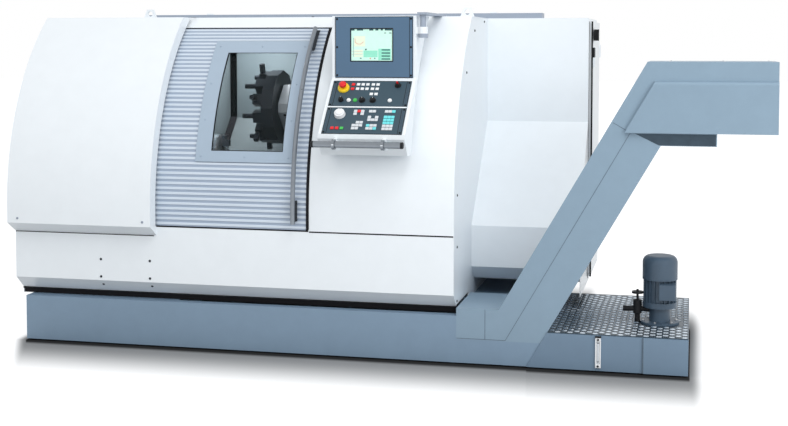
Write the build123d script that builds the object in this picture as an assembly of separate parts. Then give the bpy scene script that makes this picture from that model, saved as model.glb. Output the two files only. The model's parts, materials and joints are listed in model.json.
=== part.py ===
from build123d import *
import os
from math import asin, cos, degrees, radians, sin, sqrt, tan

# Millimetres. X runs from the left end of the base, Y from its front plane to the rear, Z from the floor.

# Sheet, cuts and fits
sheet = 3
plate = 6
overrun = 10
slide_gap = 0.3
run_fit = 0.05

# Base and enclosure
base_length = 3204
base_top = 289
base_wall = 40
foot_height = 10
foot_radius = 45
foot_inset = 110
body_depth = 1950
machine_height = 2063
enclosure_left = -68
enclosure_end_inset = 433
skirt_fold_share = 0.251
skirt_fold_depth = 90
skirt_bottom = 326
bar_hole_radius = 70

# Front curve shared by cover, door and panels: upright to the foot of the arc, then round to the roof
front_radius = 1500
arc_rise_share = 0.8087

# Headstock cover on the left
cover_over_door = 37
cover_stand = 97
cover_back = 16
cover_lip_drop = 62
cover_lap = 40

# Door
door_width = 1007
door_end_inset = 904
door_foot_drop = 85
door_top_drop = 76
door_gap = 10
rib_count = 44
rib_height = 5
rib_flat_share = 0.34
rib_flank_share = 0.16
frame_left_inset = 286
frame_right_inset = 87
frame_height = 741
frame_top_drop = 80
frame_thick = 5
window_left_inset = 100
window_right_inset = 72
window_low_inset = 67
window_high_inset = 73
pane_lap = 20
pane_thick = 8
seal_width = 12.7
seal_proud = 8
seal_depth = 20
handle_inset = 70
handle_stand = 52
handle_radius = 14
handle_foot_rise = 40
handle_top_rise = 3
handle_overhang = 15
bracket_length = 125
bracket_half = 15
hook_thick = 6
hook_reach = 10
hook_depth = 48
rail_wall = 6
rail_depth = 40
top_hook_reach = 112
top_hook_rise = 36

# Roof
roof_band_height = 68
duct_left = 280
duct_end_inset = 71
duct_front = 1290
duct_depth = 130
duct_height = 36
lug_left_x = 559
lug_end_inset = 46
lug_front_y = 700
lug_rear_inset = 150
lug_width = 88
lug_height = 58
lug_thick = 20
lug_hole_radius = 18
lug_top_share = 0.5

# Chamber, stepped cover and slant bed
slope_degrees = 45
wall_y = 1250
apron_y = 620
apron_top = 740
apron_bottom = 479
tail_return_depth = 100
tail_return_drop = 88
tail_over_base = 246
liner_inset = 28
liner_lip_z = 640
liner_stand = 85
bed_left = 310
bed_end_inset = 71
bed_front = 600
bed_rear_gap = 15
bed_top_width = 27
way_start = 75
way_width = 70
way_height = 50
way_low_t = 180
way_high_t = 720
slot_play = 10

# Headstock and spindle
spindle_y = 500
spindle_z = 1180
headstock_left = 330
headstock_t_low = 80
headstock_t_high = 560
headstock_n_high = 640
headstock_chamfer = 80
spindle_left = 150
spindle_radius = 65
spindle_bore = 33
nose_radius = 105
nose_length = 75
pulley_left = 190
pulley_width = 80
pulley_radius = 130
chuck_radius = 125
chuck_length = 150
chuck_edge = 12
jaw_slot_depth = 40
jaw_count = 3
jaw_width = 40
jaw_inner = 45
jaw_outer = 115
jaw_step = 85
jaw_proud = 45
jaw_step_proud = 20
jaw_slot_inner = 28

# Main motor and belt
motor_rear_shift = 32
motor_z = 520
motor_right = 760
motor_radius = 150
motor_flange_radius = 175
motor_flange = 30
motor_foot_half = 130
motor_shaft_radius = 30
motor_shaft_depth = 90
motor_pulley_radius = 95
belt_thick = 8

# Carriage, cross slide and turret, in slope coordinates: t up the slope, n square to it
carriage_turret_gap = 88
carriage_length = 420
carriage_travel_left = 30
carriage_travel_right = 550
carriage_t_low = 120
carriage_t_high = 880
carriage_play = 8
carriage_thick = 50
cross_inset = 40
cross_t_half = 190
cross_thick = 50
cross_rest = 410
turret_chuck_gap = 242
turret_thick = 78
turret_radius = 245
turret_stations = 12
turret_gap = 10
turret_stub_radius = 60
turret_stub_length = 50
housing_half = 125
housing_top = 125
housing_chamfer = 40
holder_depth = 60
holder_width = 70
holder_inner = 165
holder_outer = 236
bar_radius = 16
bar_length = 78
bar_ring = 200
shank_width = 25
shank_outer = 298
shank_depth = 30

# Electrical cabinet
cabinet_lap = 471
cabinet_door_thick = 20
cabinet_door_edge = 22
cabinet_door_low = 330
cabinet_door_top_drop = 23
hinge_radius = 9
hinge_pin_radius = 4
hinge_length = 90
hinge_inset = 200
switch_drop = 90
switch_inset = 120
switch_radius = 38
switch_thick = 14
switch_grip = 16
switch_grip_depth = 22
switch_stem_radius = 8
latch_drop = 240
latch_inset = 60
latch_width = 32
latch_height = 130
latch_depth = 18

# Chip conveyor
conveyor_start_gap = 16
conveyor_degrees = 60
conveyor_width = 500
conveyor_wall = 4
conveyor_box_top = 335
conveyor_step = 151
conveyor_riser_depth = 305
conveyor_head_top = 1787
conveyor_head_low = 1385
conveyor_head_reach = 1388
chute_low = 1312
chute_reach = 1060
mouth_reach = 1086
mouth_length = 270
trough_start = 75
trough_front = 60
trough_rear = 460
trough_wall = 5
guard_proud = 26
guard_top = 1677
guard_inset = 108
guard_round = 22
belt_plate = 8
belt_run = 64
belt_margin = 30
gear_box = 150
gear_depth = 130
gear_motor_radius = 65
gear_motor_length = 190

# Coolant tank
tank_reach = 918
tank_front = -10
tank_rear = 1210
tank_top = 216
tank_wall = 4
tank_block_length = 252
tank_block_proud = 8
lid_thick = 6
gauge_inset = 505
gauge_half = 16
gauge_depth = 13
gauge_low = 30
gauge_high = 205
gauge_cap = 22
gauge_bolt_radius = 7
gauge_bolt_height = 5

# Coolant pump on the tank lid
pump_inset = 171
pump_y = 400
pump_flange_radius = 115
pump_flange_thick = 12
pump_neck_radius = 62
pump_neck_top = 319
pump_shaft_radius = 14
pump_flange_top = 352
pump_motor_flange_radius = 100
pump_frame_radius = 84
pump_fin_radius = 97
pump_fin_count = 20
pump_fin_thick = 4
pump_motor_top = 504
cowl_radius = 103
cowl_flat_radius = 66
cowl_dome = 42
cowl_top = 629
cowl_wall = 3
cowl_lap = 18
fan_radius = 84
fan_thick = 30
impeller_radius = 40
impeller_low = 60
impeller_thick = 25
box_width = 92
box_height = 90
box_depth = 62
valve_pump_gap = 131
valve_pipe_radius = 16
valve_body_radius = 26
valve_pipe_z = 300
valve_body_low = 270
valve_body_high = 360
valve_stem_radius = 7
valve_stem_top = 418
valve_outlet_length = 85
wheel_radius = 34
wheel_rim = 6
wheel_hub = 14
wheel_z = 400
wheel_spoke = 6
wheel_spokes = 3

# Operator console
console_width = 523
console_end_inset = 258
console_clear = 45
console_height = 823
console_top_drop = 5
screen_depth = 54
screen_rise = 450
screen_height = 368
panel_width = 483
panel_top_depth = 69
panel_top_rise = 431
panel_low_depth = 206
panel_low_rise = 128
panel_split = 6
nose_reach = 12
nose_rise = 100
chin_depth = 99
display_left_inset = 120
display_right_inset = 147
display_rise = 552
display_height = 191
display_recess = 3
grab_reach = 55
grab_rise = 71
grab_radius = 19.5
grab_over_left = 18
grab_over_right = 2
grab_lug_inset = 108
grab_lug_thick = 14
grab_lug_radius = 30
post_gap = 38
post_y = 165
post_radius = 18
post_length = 138
post_cap = 12
arm_thick = 14
arm_width = 60
arm_rear = 760
ear_drop = 113
ear_height = 40
ear_radius = 30

# Console controls, places as shares of a panel's width and of its height from the lower edge
stop_share = (0.15, 0.70)
mode_share = (0.15, 0.24)
push_buttons_share = ((0.25, 0.24), (0.33, 0.24), (0.77, 0.24))
override_share = (0.18, 0.72)
key_columns_share = (0.33, 0.39, 0.45, 0.52, 0.58)
key_rows_share = (0.85, 0.68)
lamp_columns_share = (0.52, 0.58)
lamp_row_share = 0.48
red_keys_share = ((0.265, 0.85), (0.265, 0.68))
small_knobs_share = ((0.42, 0.24), (0.555, 0.24), (0.835, 0.82))
trio_columns_share = (0.12, 0.18, 0.24)
trio_row_share = 0.21
pad_left_shares = ((0.37, 0.85), (0.415, 0.85), (0.46, 0.85), (0.37, 0.75), (0.46, 0.75),
                   (0.425, 0.43), (0.47, 0.43), (0.38, 0.32), (0.425, 0.32), (0.47, 0.32),
                   (0.38, 0.21), (0.425, 0.21))
pad_middle_shares = ((0.56, 0.85), (0.605, 0.85), (0.56, 0.63), (0.65, 0.63), (0.56, 0.53), (0.605, 0.53),
                     (0.65, 0.53), (0.56, 0.32), (0.605, 0.32), (0.65, 0.32), (0.56, 0.21), (0.605, 0.21),
                     (0.65, 0.21))
pad_right_columns_share = (0.76, 0.805, 0.85)
pad_right_rows_share = (0.85, 0.64, 0.53, 0.42, 0.31, 0.20)
key_width = 17
key_height = 14
key_proud = 4
stop_radius = 22
stop_cap = 20
stop_lift = 32
collar_radius = 32
collar_height = 14
stop_travel = 6
stem_radius = 8
stem_depth = 22
stem_fit = 0.1
mode_radius = 16
mode_height = 20
knob_taper_share = 0.17
small_knob_radius = 13
small_knob_height = 16
push_radius = 10
push_proud = 8
override_radius = 34
override_height = 22

# Angles, and the front curve in height
slope = radians(slope_degrees)
riser = radians(conveyor_degrees)
arc_foot_z = machine_height - front_radius * arc_rise_share


def front_y(z, stand):
    """Depth of the front curve at a height, standing proud of it by the given amount."""
    rise = max(z - arc_foot_z, 0)
    return front_radius - sqrt((front_radius + stand) ** 2 - rise ** 2)


# Lengths worked out from the base's length
enclosure_right = base_length - enclosure_end_inset
door_right = enclosure_right - door_end_inset
door_left = door_right - door_width
cover_right = door_left + cover_over_door
frame_left = door_left + frame_left_inset
frame_right = door_right - frame_right_inset
window_left = frame_left + window_left_inset
window_right = frame_right - window_right_inset
handle_x = door_right - handle_inset
liner_left = cover_right + liner_inset
chuck_face = liner_left + nose_length + chuck_length
turret_face = chuck_face + turret_chuck_gap
carriage_left = turret_face + carriage_turret_gap
carriage_right = carriage_left + carriage_length
way_left = liner_left + way_start
bed_right = enclosure_right - bed_end_inset
duct_right = base_length - duct_end_inset
lug_right_x = enclosure_right - lug_end_inset
cabinet_left = enclosure_right - cabinet_lap
tail_right = base_length + tail_over_base
console_right = enclosure_right - console_end_inset
console_left = console_right - console_width
panel_left = (console_left + console_right - panel_width) / 2
panel_right = panel_left + panel_width
display_left = console_left + display_left_inset
display_right = console_right - display_right_inset
grab_left = console_left - grab_over_left
grab_right = console_right + grab_over_right
post_x = console_right + post_gap
conveyor_left = enclosure_right + conveyor_start_gap
conveyor_head_right = base_length + conveyor_head_reach
chute_right = base_length + chute_reach
mouth_left = base_length + mouth_reach
mouth_right = mouth_left + mouth_length
trough_left = liner_left + trough_start
tank_right = base_length + tank_reach
tank_block_left = tank_right - tank_block_length
gauge_x = tank_right - gauge_inset
pump_x = tank_right - pump_inset
valve_x = pump_x - valve_pump_gap
valve_outlet_left = valve_x - valve_outlet_length

# Heights worked out from the machine's height
door_bottom = arc_foot_z - door_foot_drop
door_top = machine_height - door_top_drop
cover_bottom = door_bottom
cover_lip_z = door_bottom - cover_lip_drop
skirt_top = door_bottom - door_gap
skirt_fold_z = base_top + (skirt_top - base_top) * skirt_fold_share
roof_band_low = machine_height - roof_band_height
frame_high = door_top - frame_top_drop
frame_low = frame_high - frame_height
window_low = frame_low + window_low_inset
window_high = frame_high - window_high_inset
handle_low = door_bottom + handle_foot_rise
handle_high = door_top + handle_top_rise
cabinet_door_high = machine_height - cabinet_door_top_drop
console_top = machine_height - console_top_drop
console_low = console_top - console_height
screen_low = console_low + screen_rise
screen_high = screen_low + screen_height
panel_top_z = console_low + panel_top_rise
panel_low_z = console_low + panel_low_rise
nose_low_z = console_low + nose_rise
display_low = console_low + display_rise
display_high = display_low + display_height
grab_z = console_low + grab_rise
post_low = machine_height - post_length
ear_low = machine_height - ear_drop
ear_high = ear_low + ear_height

# Depths worked out from the body's depth and the front curve
lug_rear_y = body_depth - lug_rear_inset
bed_rear = wall_y - bed_rear_gap
bed_slope_length = (bed_rear - bed_front - bed_top_width) / cos(slope)
motor_y = (bed_rear + body_depth) / 2 - motor_rear_shift
hinge_y = body_depth + hinge_radius + slide_gap
screen_y = front_y(screen_low, console_clear) - screen_depth
panel_top_y = front_y(panel_top_z, console_clear) - panel_top_depth
panel_low_y = front_y(panel_low_z, console_clear) - panel_low_depth
nose_y = panel_low_y - nose_reach
chin_y = front_y(console_low, console_clear) - chin_depth
grab_y = nose_y - grab_reach

# Slopes, panels and the place of the part's own origin
crease_z = apron_top + (wall_y - apron_y) * tan(slope)
slope_foot_z = apron_top + (bed_front - apron_y) * tan(slope) - liner_stand / cos(slope)
spindle_t = (spindle_y - bed_front) * cos(slope) + (spindle_z - slope_foot_z) * sin(slope)
spindle_n = (spindle_z - slope_foot_z) * cos(slope) - (spindle_y - bed_front) * sin(slope)
turret_t = spindle_t + cross_rest
panel_rise = sqrt((panel_top_y - panel_low_y) ** 2 + (panel_top_z - panel_low_z) ** 2)
panel_height = (panel_rise - panel_split) / 2
panel_up = ((panel_top_y - panel_low_y) / panel_rise, (panel_top_z - panel_low_z) / panel_rise)
origin_x = (enclosure_left - sheet + conveyor_head_right) / 2
origin_y = (grab_y - grab_lug_radius + hinge_y + hinge_radius) / 2


def slope_point(t, n):
    """Depth and height of a point given along and square to the bed's slope."""
    return (bed_front + t * cos(slope) - n * sin(slope), slope_foot_z + t * sin(slope) + n * cos(slope))


def turret_point(shift):
    """Depth and height of the turret axis, with the cross slide moved up the slope."""
    return slope_point(turret_t + shift, spindle_n)


def block(x, y, z):
    """Box between pairs of limits."""
    limits = (x, y, z)
    size = [high - low for low, high in limits]
    middle = [(high + low) / 2 for low, high in limits]
    return Pos(*middle) * Box(*size)


def prism_x(points, x):
    """Outline of depths and heights, drawn out along X."""
    face = make_face(Polyline(*points, close=True))
    return extrude(Plane.YZ.offset(x[0]) * face, x[1] - x[0])


def prism_y(points, y):
    """Outline of lengths and heights, drawn out along Y."""
    face = make_face(Polyline(*points, close=True))
    return extrude(Plane.XZ.offset(-y[1]) * face, y[1] - y[0])


def slope_block(x, t, n):
    """Box that lies on the bed's slope."""
    corners = ((t[0], n[0]), (t[1], n[0]), (t[1], n[1]), (t[0], n[1]))
    return prism_x([slope_point(*corner) for corner in corners], x)


def rod_x(center, radius, x):
    """Round bar along X about a depth and height."""
    return extrude(Plane.YZ.offset(x[0]) * Pos(*center) * Circle(radius), x[1] - x[0])


def rod_y(center, radius, y):
    """Round bar along Y about a length and height."""
    return extrude(Plane.XZ.offset(-y[1]) * Pos(*center) * Circle(radius), y[1] - y[0])


def rod_z(center, radius, z):
    """Upright round bar."""
    return extrude(Plane.XY.offset(z[0]) * Pos(*center) * Circle(radius), z[1] - z[0])


def turned_x(outline, center):
    """Turned piece about a line along X, from pairs of length and radius."""
    face = make_face(Polyline(*outline, close=True))
    return Pos(0, *center) * revolve(face, Axis.X)


def turned_z(outline, center):
    """Turned upright piece, from pairs of radius and height."""
    face = Plane.XZ * make_face(Polyline(*outline, close=True))
    return Pos(*center, 0) * revolve(face, Axis.Z)


def strip(points, thick):
    """Closed outline of a bent sheet: the path, and the path moved to its left by the sheet's thickness."""
    path = [Vector(*point) for point in points]
    normals = []
    for start, end in zip(path, path[1:]):
        along = (end - start).normalized()
        normals.append(Vector(-along.Y, along.X))
    before = [normals[0]] + normals
    after = normals + [normals[-1]]
    shifted = []
    for point, first, second in zip(path, before, after):
        mitre = (first + second) * (thick / (1 + first.dot(second)))
        shifted.append(point + mitre)
    return [(point.X, point.Y) for point in path + shifted[::-1]]


def curve_edges(z, stand):
    """Lower upright and arc of the front curve between two heights."""
    start = max(z[0], arc_foot_z)
    middle = (start + z[1]) / 2
    points = [(front_y(height, stand), height) for height in (start, middle, z[1])]
    edges = [ThreePointArc(*points)]
    if z[0] < start:
        edges.append(Line((front_y(z[0], stand), z[0]), points[0]))
    return edges


def curved_sheet(x, z, outer, inner):
    """Sheet that follows the front curve, between two stands and two heights."""
    edges = curve_edges(z, outer) + curve_edges(z, inner)
    for height in z:
        edges.append(Line((front_y(height, outer), height), (front_y(height, inner), height)))
    return extrude(Plane.YZ.offset(x[0]) * make_face(edges), x[1] - x[0])


def base_end_x(z):
    """Length at which the slanted end of base and riser stands at a height."""
    return base_length + (z - foot_height) / tan(riser)


def make_base_tray():
    outline = ((0, foot_height), (base_length, foot_height), (base_end_x(conveyor_step), conveyor_step),
               (conveyor_left, conveyor_step), (conveyor_left, base_top), (0, base_top))
    body = prism_y(outline, (0, body_depth))
    deck = conveyor_step - base_wall
    rear = body_depth - foot_inset - foot_radius
    hollow = block((base_wall, conveyor_left - base_wall), (trough_rear + base_wall, rear),
                   (foot_height - overrun, deck))
    channel = block((trough_left - slide_gap, conveyor_left + overrun),
                    (trough_front - slide_gap, trough_rear + slide_gap), (conveyor_step, base_top + overrun))
    block_outline = ((conveyor_left, conveyor_step), (base_end_x(conveyor_step), conveyor_step),
                     (base_end_x(base_top), base_top), (conveyor_left, base_top))
    rear_block = prism_y(block_outline, (conveyor_width + slide_gap, body_depth))
    return body - hollow - channel + rear_block


def make_levelling_feet():
    outline = ((0, 0), (foot_radius, 0), (foot_radius, foot_height / 2),
               (foot_radius - foot_height, foot_height), (0, foot_height))
    feet = []
    for x in (foot_inset, base_length / 2, base_length - foot_inset):
        for y in (foot_inset, body_depth - foot_inset):
            feet.append(turned_z(outline, (x, y)))
    return Compound(children=feet)


def side_outline(rear):
    """Edges of an end panel from the skirt's fold round the front curve to the roof."""
    edges = curve_edges((skirt_fold_z, machine_height), 0)
    top = (front_y(machine_height, 0), machine_height)
    points = [top] + rear + [(skirt_fold_depth, skirt_bottom), (0, skirt_fold_z)]
    for start, end in zip(points, points[1:]):
        edges.append(Line(start, end))
    return make_face(edges)


def make_left_end_panel():
    rear = [(body_depth, machine_height), (body_depth, base_top), (skirt_fold_depth, base_top)]
    face = Plane.YZ.offset(enclosure_left) * side_outline(rear)
    hole = rod_x((spindle_y, spindle_z), bar_hole_radius,
                 (enclosure_left - overrun, enclosure_left + overrun))
    return extrude(face, sheet) - hole


def make_right_end_panel():
    behind = conveyor_width + slide_gap
    rear = [(wall_y, machine_height), (wall_y, base_top), (behind, base_top), (behind, conveyor_box_top),
            (skirt_fold_depth, conveyor_box_top)]
    face = Plane.YZ.offset(enclosure_right - sheet) * side_outline(rear)
    return extrude(face, sheet)


def make_front_skirt():
    path = ((0, skirt_top), (0, skirt_fold_z), (skirt_fold_depth, skirt_bottom))
    return prism_x(strip(path, sheet), (enclosure_left + sheet, enclosure_right - sheet))


def make_headstock_cover():
    left = enclosure_left - sheet
    z = (cover_bottom, machine_height)
    body = curved_sheet((left, cover_right), z, cover_stand, cover_back)
    inner_z = (cover_bottom - overrun, machine_height - sheet)
    inner_x = (left + sheet, cover_right - sheet)
    hollow = curved_sheet(inner_x, inner_z, cover_stand - sheet, cover_back - overrun)
    cheek = curved_sheet((left, enclosure_left), z, cover_back + sheet, -cover_lap)
    fold = ((-cover_stand, cover_bottom + sheet), (-cover_stand, cover_bottom), (0, cover_lip_z),
            (0, cover_lip_z + sheet))
    lip = prism_x(fold, (left, cover_right))
    corner = ((-cover_stand, cover_bottom), (0, cover_lip_z), (0, skirt_top), (-cover_back, cover_bottom))
    ends = prism_x(corner, (left, left + sheet)) + prism_x(corner, (cover_right - sheet, cover_right))
    return body - hollow + cheek + lip + ends


def make_right_front_panel():
    left = door_right + seal_width + slide_gap
    face = curved_sheet((left, enclosure_right - sheet), (skirt_top + overrun, machine_height), 0, -sheet)
    flange = curved_sheet((left, left + sheet), (skirt_top + overrun, machine_height - sheet), 0, -cover_lap)
    hem = block((left, enclosure_right - sheet), (0, sheet), (skirt_top, skirt_top + overrun))
    return face + flange + hem


def make_roof_cover():
    inner_left = enclosure_left + sheet
    band_right = door_right + seal_width + slide_gap
    front = front_y(machine_height, -sheet)
    z = (machine_height - sheet, machine_height)
    top = block((inner_left, enclosure_right - sheet), (front, body_depth - sheet), z)
    band = curved_sheet((inner_left, band_right), (roof_band_low, machine_height), 0, -sheet)
    bend = block((inner_left, band_right), (front_y(machine_height, 0), front), z)
    return top + band + bend


def make_roof_duct():
    y = (duct_front, duct_front + duct_depth)
    z = (machine_height, machine_height + duct_height)
    body = block((duct_left, duct_right), y, z)
    hollow = block((duct_left + sheet, duct_right - sheet), (y[0] + sheet, y[1] - sheet),
                   (z[0] - overrun, z[1] - sheet))
    return body - hollow


def make_lifting_lugs():
    lugs = []
    half = lug_width / 2
    top = machine_height + lug_height
    middle = machine_height + lug_height / 2
    for x in (lug_left_x, lug_right_x):
        for y in (lug_front_y, lug_rear_y):
            outline = ((x - half, machine_height), (x + half, machine_height),
                       (x + half * lug_top_share, top), (x - half * lug_top_share, top))
            hole = rod_y((x, middle), lug_hole_radius, (y - overrun, y + lug_thick + overrun))
            lugs.append(prism_y(outline, (y, y + lug_thick)) - hole)
    return Compound(children=lugs)


def make_rear_panel():
    x = (enclosure_left + sheet, cabinet_left)
    return block(x, (body_depth - sheet, body_depth), (base_top, machine_height - sheet))


def make_chamber_liner():
    path = ((apron_y - liner_stand, liner_lip_z), (apron_y, apron_top), (wall_y, crease_z),
            (wall_y, machine_height - sheet))
    x = (liner_left, enclosure_right - sheet)
    body = prism_x(strip(path, -sheet), x)
    slot_x = (carriage_left - carriage_travel_left - slot_play,
              carriage_right + carriage_travel_right + slot_play)
    for t in (way_low_t, way_high_t):
        reach = (t - slot_play, t + way_width + slot_play)
        body -= slope_block(slot_x, reach, (liner_stand - overrun, liner_stand + overrun))
    wall = headstock_wall()
    return body + wall


def headstock_wall():
    """Upright wall of the chamber round the spindle nose."""
    z = (liner_lip_z, roof_band_low - cover_lap)
    edges = curve_edges(z, -cover_lap)
    points = ((front_y(z[1], -cover_lap), z[1]), (wall_y, z[1]), (wall_y, crease_z), (apron_y, apron_top),
              (apron_y - liner_stand, z[0]), (front_y(z[0], -cover_lap), z[0]))
    for start, end in zip(points, points[1:]):
        edges.append(Line(start, end))
    body = extrude(Plane.YZ.offset(liner_left) * make_face(edges), sheet)
    return body - rod_x((spindle_y, spindle_z), nose_radius + slot_play,
                        (liner_left - overrun, liner_left + overrun))


def make_tail_cover():
    inner = (apron_y + tail_return_depth, apron_bottom - tail_return_drop)
    path = (inner, (apron_y, apron_bottom), (apron_y, apron_top), (wall_y, crease_z),
            (wall_y, machine_height))
    skin = prism_x(strip(path, -sheet), (enclosure_right, tail_right))
    cheek = ((apron_y, apron_bottom), (apron_y, apron_top), (wall_y, crease_z), (wall_y, base_top),
             (inner[0], base_top), inner)
    return skin + prism_x(cheek, (tail_right - sheet, tail_right))


def make_bed():
    top = slope_point(bed_slope_length, 0)
    outline = ((bed_front, base_top), slope_point(0, 0), top, (bed_rear, top[1]), (bed_rear, base_top))
    body = prism_x(outline, (bed_left, bed_right))
    for t in (way_low_t, way_high_t):
        body += slope_block((way_left, bed_right), (t, t + way_width), (0, way_height))
    return body


def make_headstock():
    low, high, top = headstock_t_low, headstock_t_high, headstock_n_high
    corners = ((low, 0), (high, 0), (high, top - headstock_chamfer), (high - headstock_chamfer, top),
               (low + headstock_chamfer, top), (low, top - headstock_chamfer))
    body = prism_x([slope_point(*corner) for corner in corners], (headstock_left, liner_left))
    return body - rod_x((spindle_y, spindle_z), spindle_radius + run_fit,
                        (headstock_left - overrun, liner_left + overrun))


def make_spindle():
    front = liner_left + nose_length
    outline = ((spindle_left, spindle_bore), (spindle_left, spindle_radius),
               (liner_left + slide_gap, spindle_radius), (liner_left + slide_gap, nose_radius),
               (front, nose_radius), (front, spindle_bore))
    return turned_x(outline, (spindle_y, spindle_z))


def make_spindle_pulley():
    right = pulley_left + pulley_width
    outline = ((pulley_left, spindle_radius), (pulley_left, pulley_radius), (right, pulley_radius),
               (right, spindle_radius))
    return turned_x(outline, (spindle_y, spindle_z))


def make_chuck_body():
    back = liner_left + nose_length
    outline = ((back, spindle_bore), (back, chuck_radius - chuck_edge), (back + chuck_edge, chuck_radius),
               (chuck_face - chuck_edge, chuck_radius), (chuck_face, chuck_radius - chuck_edge),
               (chuck_face, spindle_bore))
    body = turned_x(outline, (0, 0))
    half = jaw_width / 2 + slide_gap
    for turn in range(jaw_count):
        slot = block((chuck_face - jaw_slot_depth, chuck_face + overrun), (-half, half),
                     (jaw_slot_inner, chuck_radius + overrun))
        body -= Rot(turn * 360 / jaw_count, 0, 0) * slot
    return Pos(0, spindle_y, spindle_z) * body


def make_chuck_jaw(turn):
    floor = chuck_face - jaw_slot_depth + slide_gap
    step = chuck_face + jaw_step_proud
    front = chuck_face + jaw_proud
    outline = ((floor, jaw_inner), (front, jaw_inner), (front, jaw_step), (step, jaw_step),
               (step, jaw_outer), (floor, jaw_outer))
    jaw = prism_y(outline, (-jaw_width / 2, jaw_width / 2))
    return Pos(0, spindle_y, spindle_z) * Rot(turn * 360 / jaw_count, 0, 0) * jaw


def make_main_motor():
    center = (motor_y, motor_z)
    body = rod_x(center, motor_radius, (headstock_left, motor_right))
    body += rod_x(center, motor_flange_radius, (headstock_left, headstock_left + motor_flange))
    body += block((headstock_left, motor_right), (motor_y - motor_foot_half, motor_y + motor_foot_half),
                  (base_top, motor_z))
    return body - rod_x(center, motor_shaft_radius + run_fit,
                        (headstock_left - overrun, headstock_left + motor_shaft_depth))


def make_motor_pulley():
    right = pulley_left + pulley_width
    end = headstock_left + motor_shaft_depth - slide_gap
    outline = ((pulley_left, 0), (pulley_left, motor_pulley_radius), (right, motor_pulley_radius),
               (right, motor_shaft_radius), (end, motor_shaft_radius), (end, 0))
    return turned_x(outline, (motor_y, motor_z))


def belt_loop(extra):
    """Outline of the belt's path round both pulleys."""
    large = Pos(spindle_y, spindle_z) * Circle(pulley_radius + extra)
    small = Pos(motor_y, motor_z) * Circle(motor_pulley_radius + extra)
    return make_hull(large.edges() + small.edges())


def make_drive_belt():
    loop = belt_loop(slide_gap + belt_thick) - belt_loop(slide_gap)
    return extrude(Plane.YZ.offset(pulley_left) * loop, pulley_width)


def make_carriage():
    x = (carriage_left, carriage_right)
    low = liner_stand + carriage_play
    body = slope_block(x, (carriage_t_low, carriage_t_high), (low, low + carriage_thick))
    for t in (way_low_t, way_high_t):
        body += slope_block(x, (t, t + way_width), (way_height + slide_gap, low + carriage_play))
    return body


def make_cross_slide():
    low = liner_stand + carriage_play + carriage_thick + slide_gap
    top = low + cross_thick
    x = (carriage_left + cross_inset, carriage_right - cross_inset)
    body = slope_block(x, (turret_t - cross_t_half, turret_t + cross_t_half), (low, top))
    housing_x = (turret_face + turret_thick + turret_gap, x[1])
    left, right, high = turret_t - housing_half, turret_t + housing_half, spindle_n + housing_top
    corners = ((left, top), (right, top), (right, high - housing_chamfer), (right - housing_chamfer, high),
               (left + housing_chamfer, high), (left, high - housing_chamfer))
    body += prism_x([slope_point(*corner) for corner in corners], housing_x)
    stub = rod_x(turret_point(0), turret_stub_radius, (housing_x[0] - turret_stub_length, housing_x[1]))
    return body + stub


def make_turret_disc():
    outline = RegularPolygon(turret_radius, turret_stations)
    body = extrude(Plane.YZ.offset(turret_face) * Pos(*turret_point(0)) * outline, turret_thick)
    back = turret_face + turret_thick
    start = back + turret_gap - turret_stub_length - slide_gap
    return body - rod_x(turret_point(0), turret_stub_radius + run_fit, (start, back + overrun))


def make_turret_tools():
    tools = []
    for station in range(turret_stations):
        x = (turret_face - holder_depth, turret_face)
        tool = block(x, (-holder_width / 2, holder_width / 2), (holder_inner, holder_outer))
        if station % 2:
            tool += rod_x((0, bar_ring), bar_radius, (x[0] - bar_length, x[0]))
        else:
            tool += block((x[0], x[0] + shank_depth), (-shank_width / 2, shank_width / 2),
                          (holder_outer, shank_outer))
        turn = (station + 1 / 2) * 360 / turret_stations
        tools.append(Pos(0, *turret_point(0)) * Rot(turn, 0, 0) * tool)
    return Compound(children=tools)


def door_point(travel, stand):
    """Depth and height of a point at a distance up the door's curve."""
    upright = arc_foot_z - door_bottom
    if travel <= upright:
        return (-stand, door_bottom + travel)
    angle = (travel - upright) / front_radius
    reach = front_radius + stand
    return (front_radius - reach * cos(angle), arc_foot_z + reach * sin(angle))


def ribbed_outline():
    """Front edge of the ribbed sheet, rib by rib from the foot to the top."""
    length = arc_foot_z - door_bottom + front_radius * asin((door_top - arc_foot_z) / front_radius)
    pitch = length / rib_count
    points = []
    for rib in range(rib_count):
        rise = (rib + rib_flank_share) * pitch
        fall = rise + (rib_flat_share + rib_flank_share) * pitch
        points.append(door_point(rise, 0))
        points.append(door_point(rise + rib_flank_share * pitch, rib_height))
        points.append(door_point(fall, rib_height))
        points.append(door_point(fall + rib_flank_share * pitch, 0))
    return [door_point(0, 0)] + points + [door_point(length, 0)]


def window_cut():
    """Opening of the window, through the door from front to rear."""
    return block((window_left, window_right), (-cover_stand, wall_y), (window_low, window_high))


def make_door_panel():
    front = ribbed_outline()
    z = (door_bottom, door_top)
    edges = [Line(start, end) for start, end in zip(front, front[1:])] + curve_edges(z, -sheet)
    for height, point in zip(z, (front[0], front[-1])):
        edges.append(Line(point, (front_y(height, -sheet), height)))
    x = (door_left, door_right)
    body = extrude(Plane.YZ.offset(x[0]) * make_face(edges), x[1] - x[0]) - window_cut()
    return body + lower_hook(x) + upper_hook(x)


def lower_hook(x):
    """Folded hem that hangs in the lower rail."""
    rear = hook_reach + hook_thick
    tip = door_bottom - hook_depth
    top = door_bottom + hook_thick
    points = ((0, door_bottom), (hook_reach, door_bottom), (hook_reach, tip), (rear, tip), (rear, top),
              (0, top))
    return prism_x(points, x)


def upper_hook_rear():
    """Rear face of the door's upper hem."""
    return front_y(door_top, 0) + top_hook_reach + hook_thick


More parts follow.
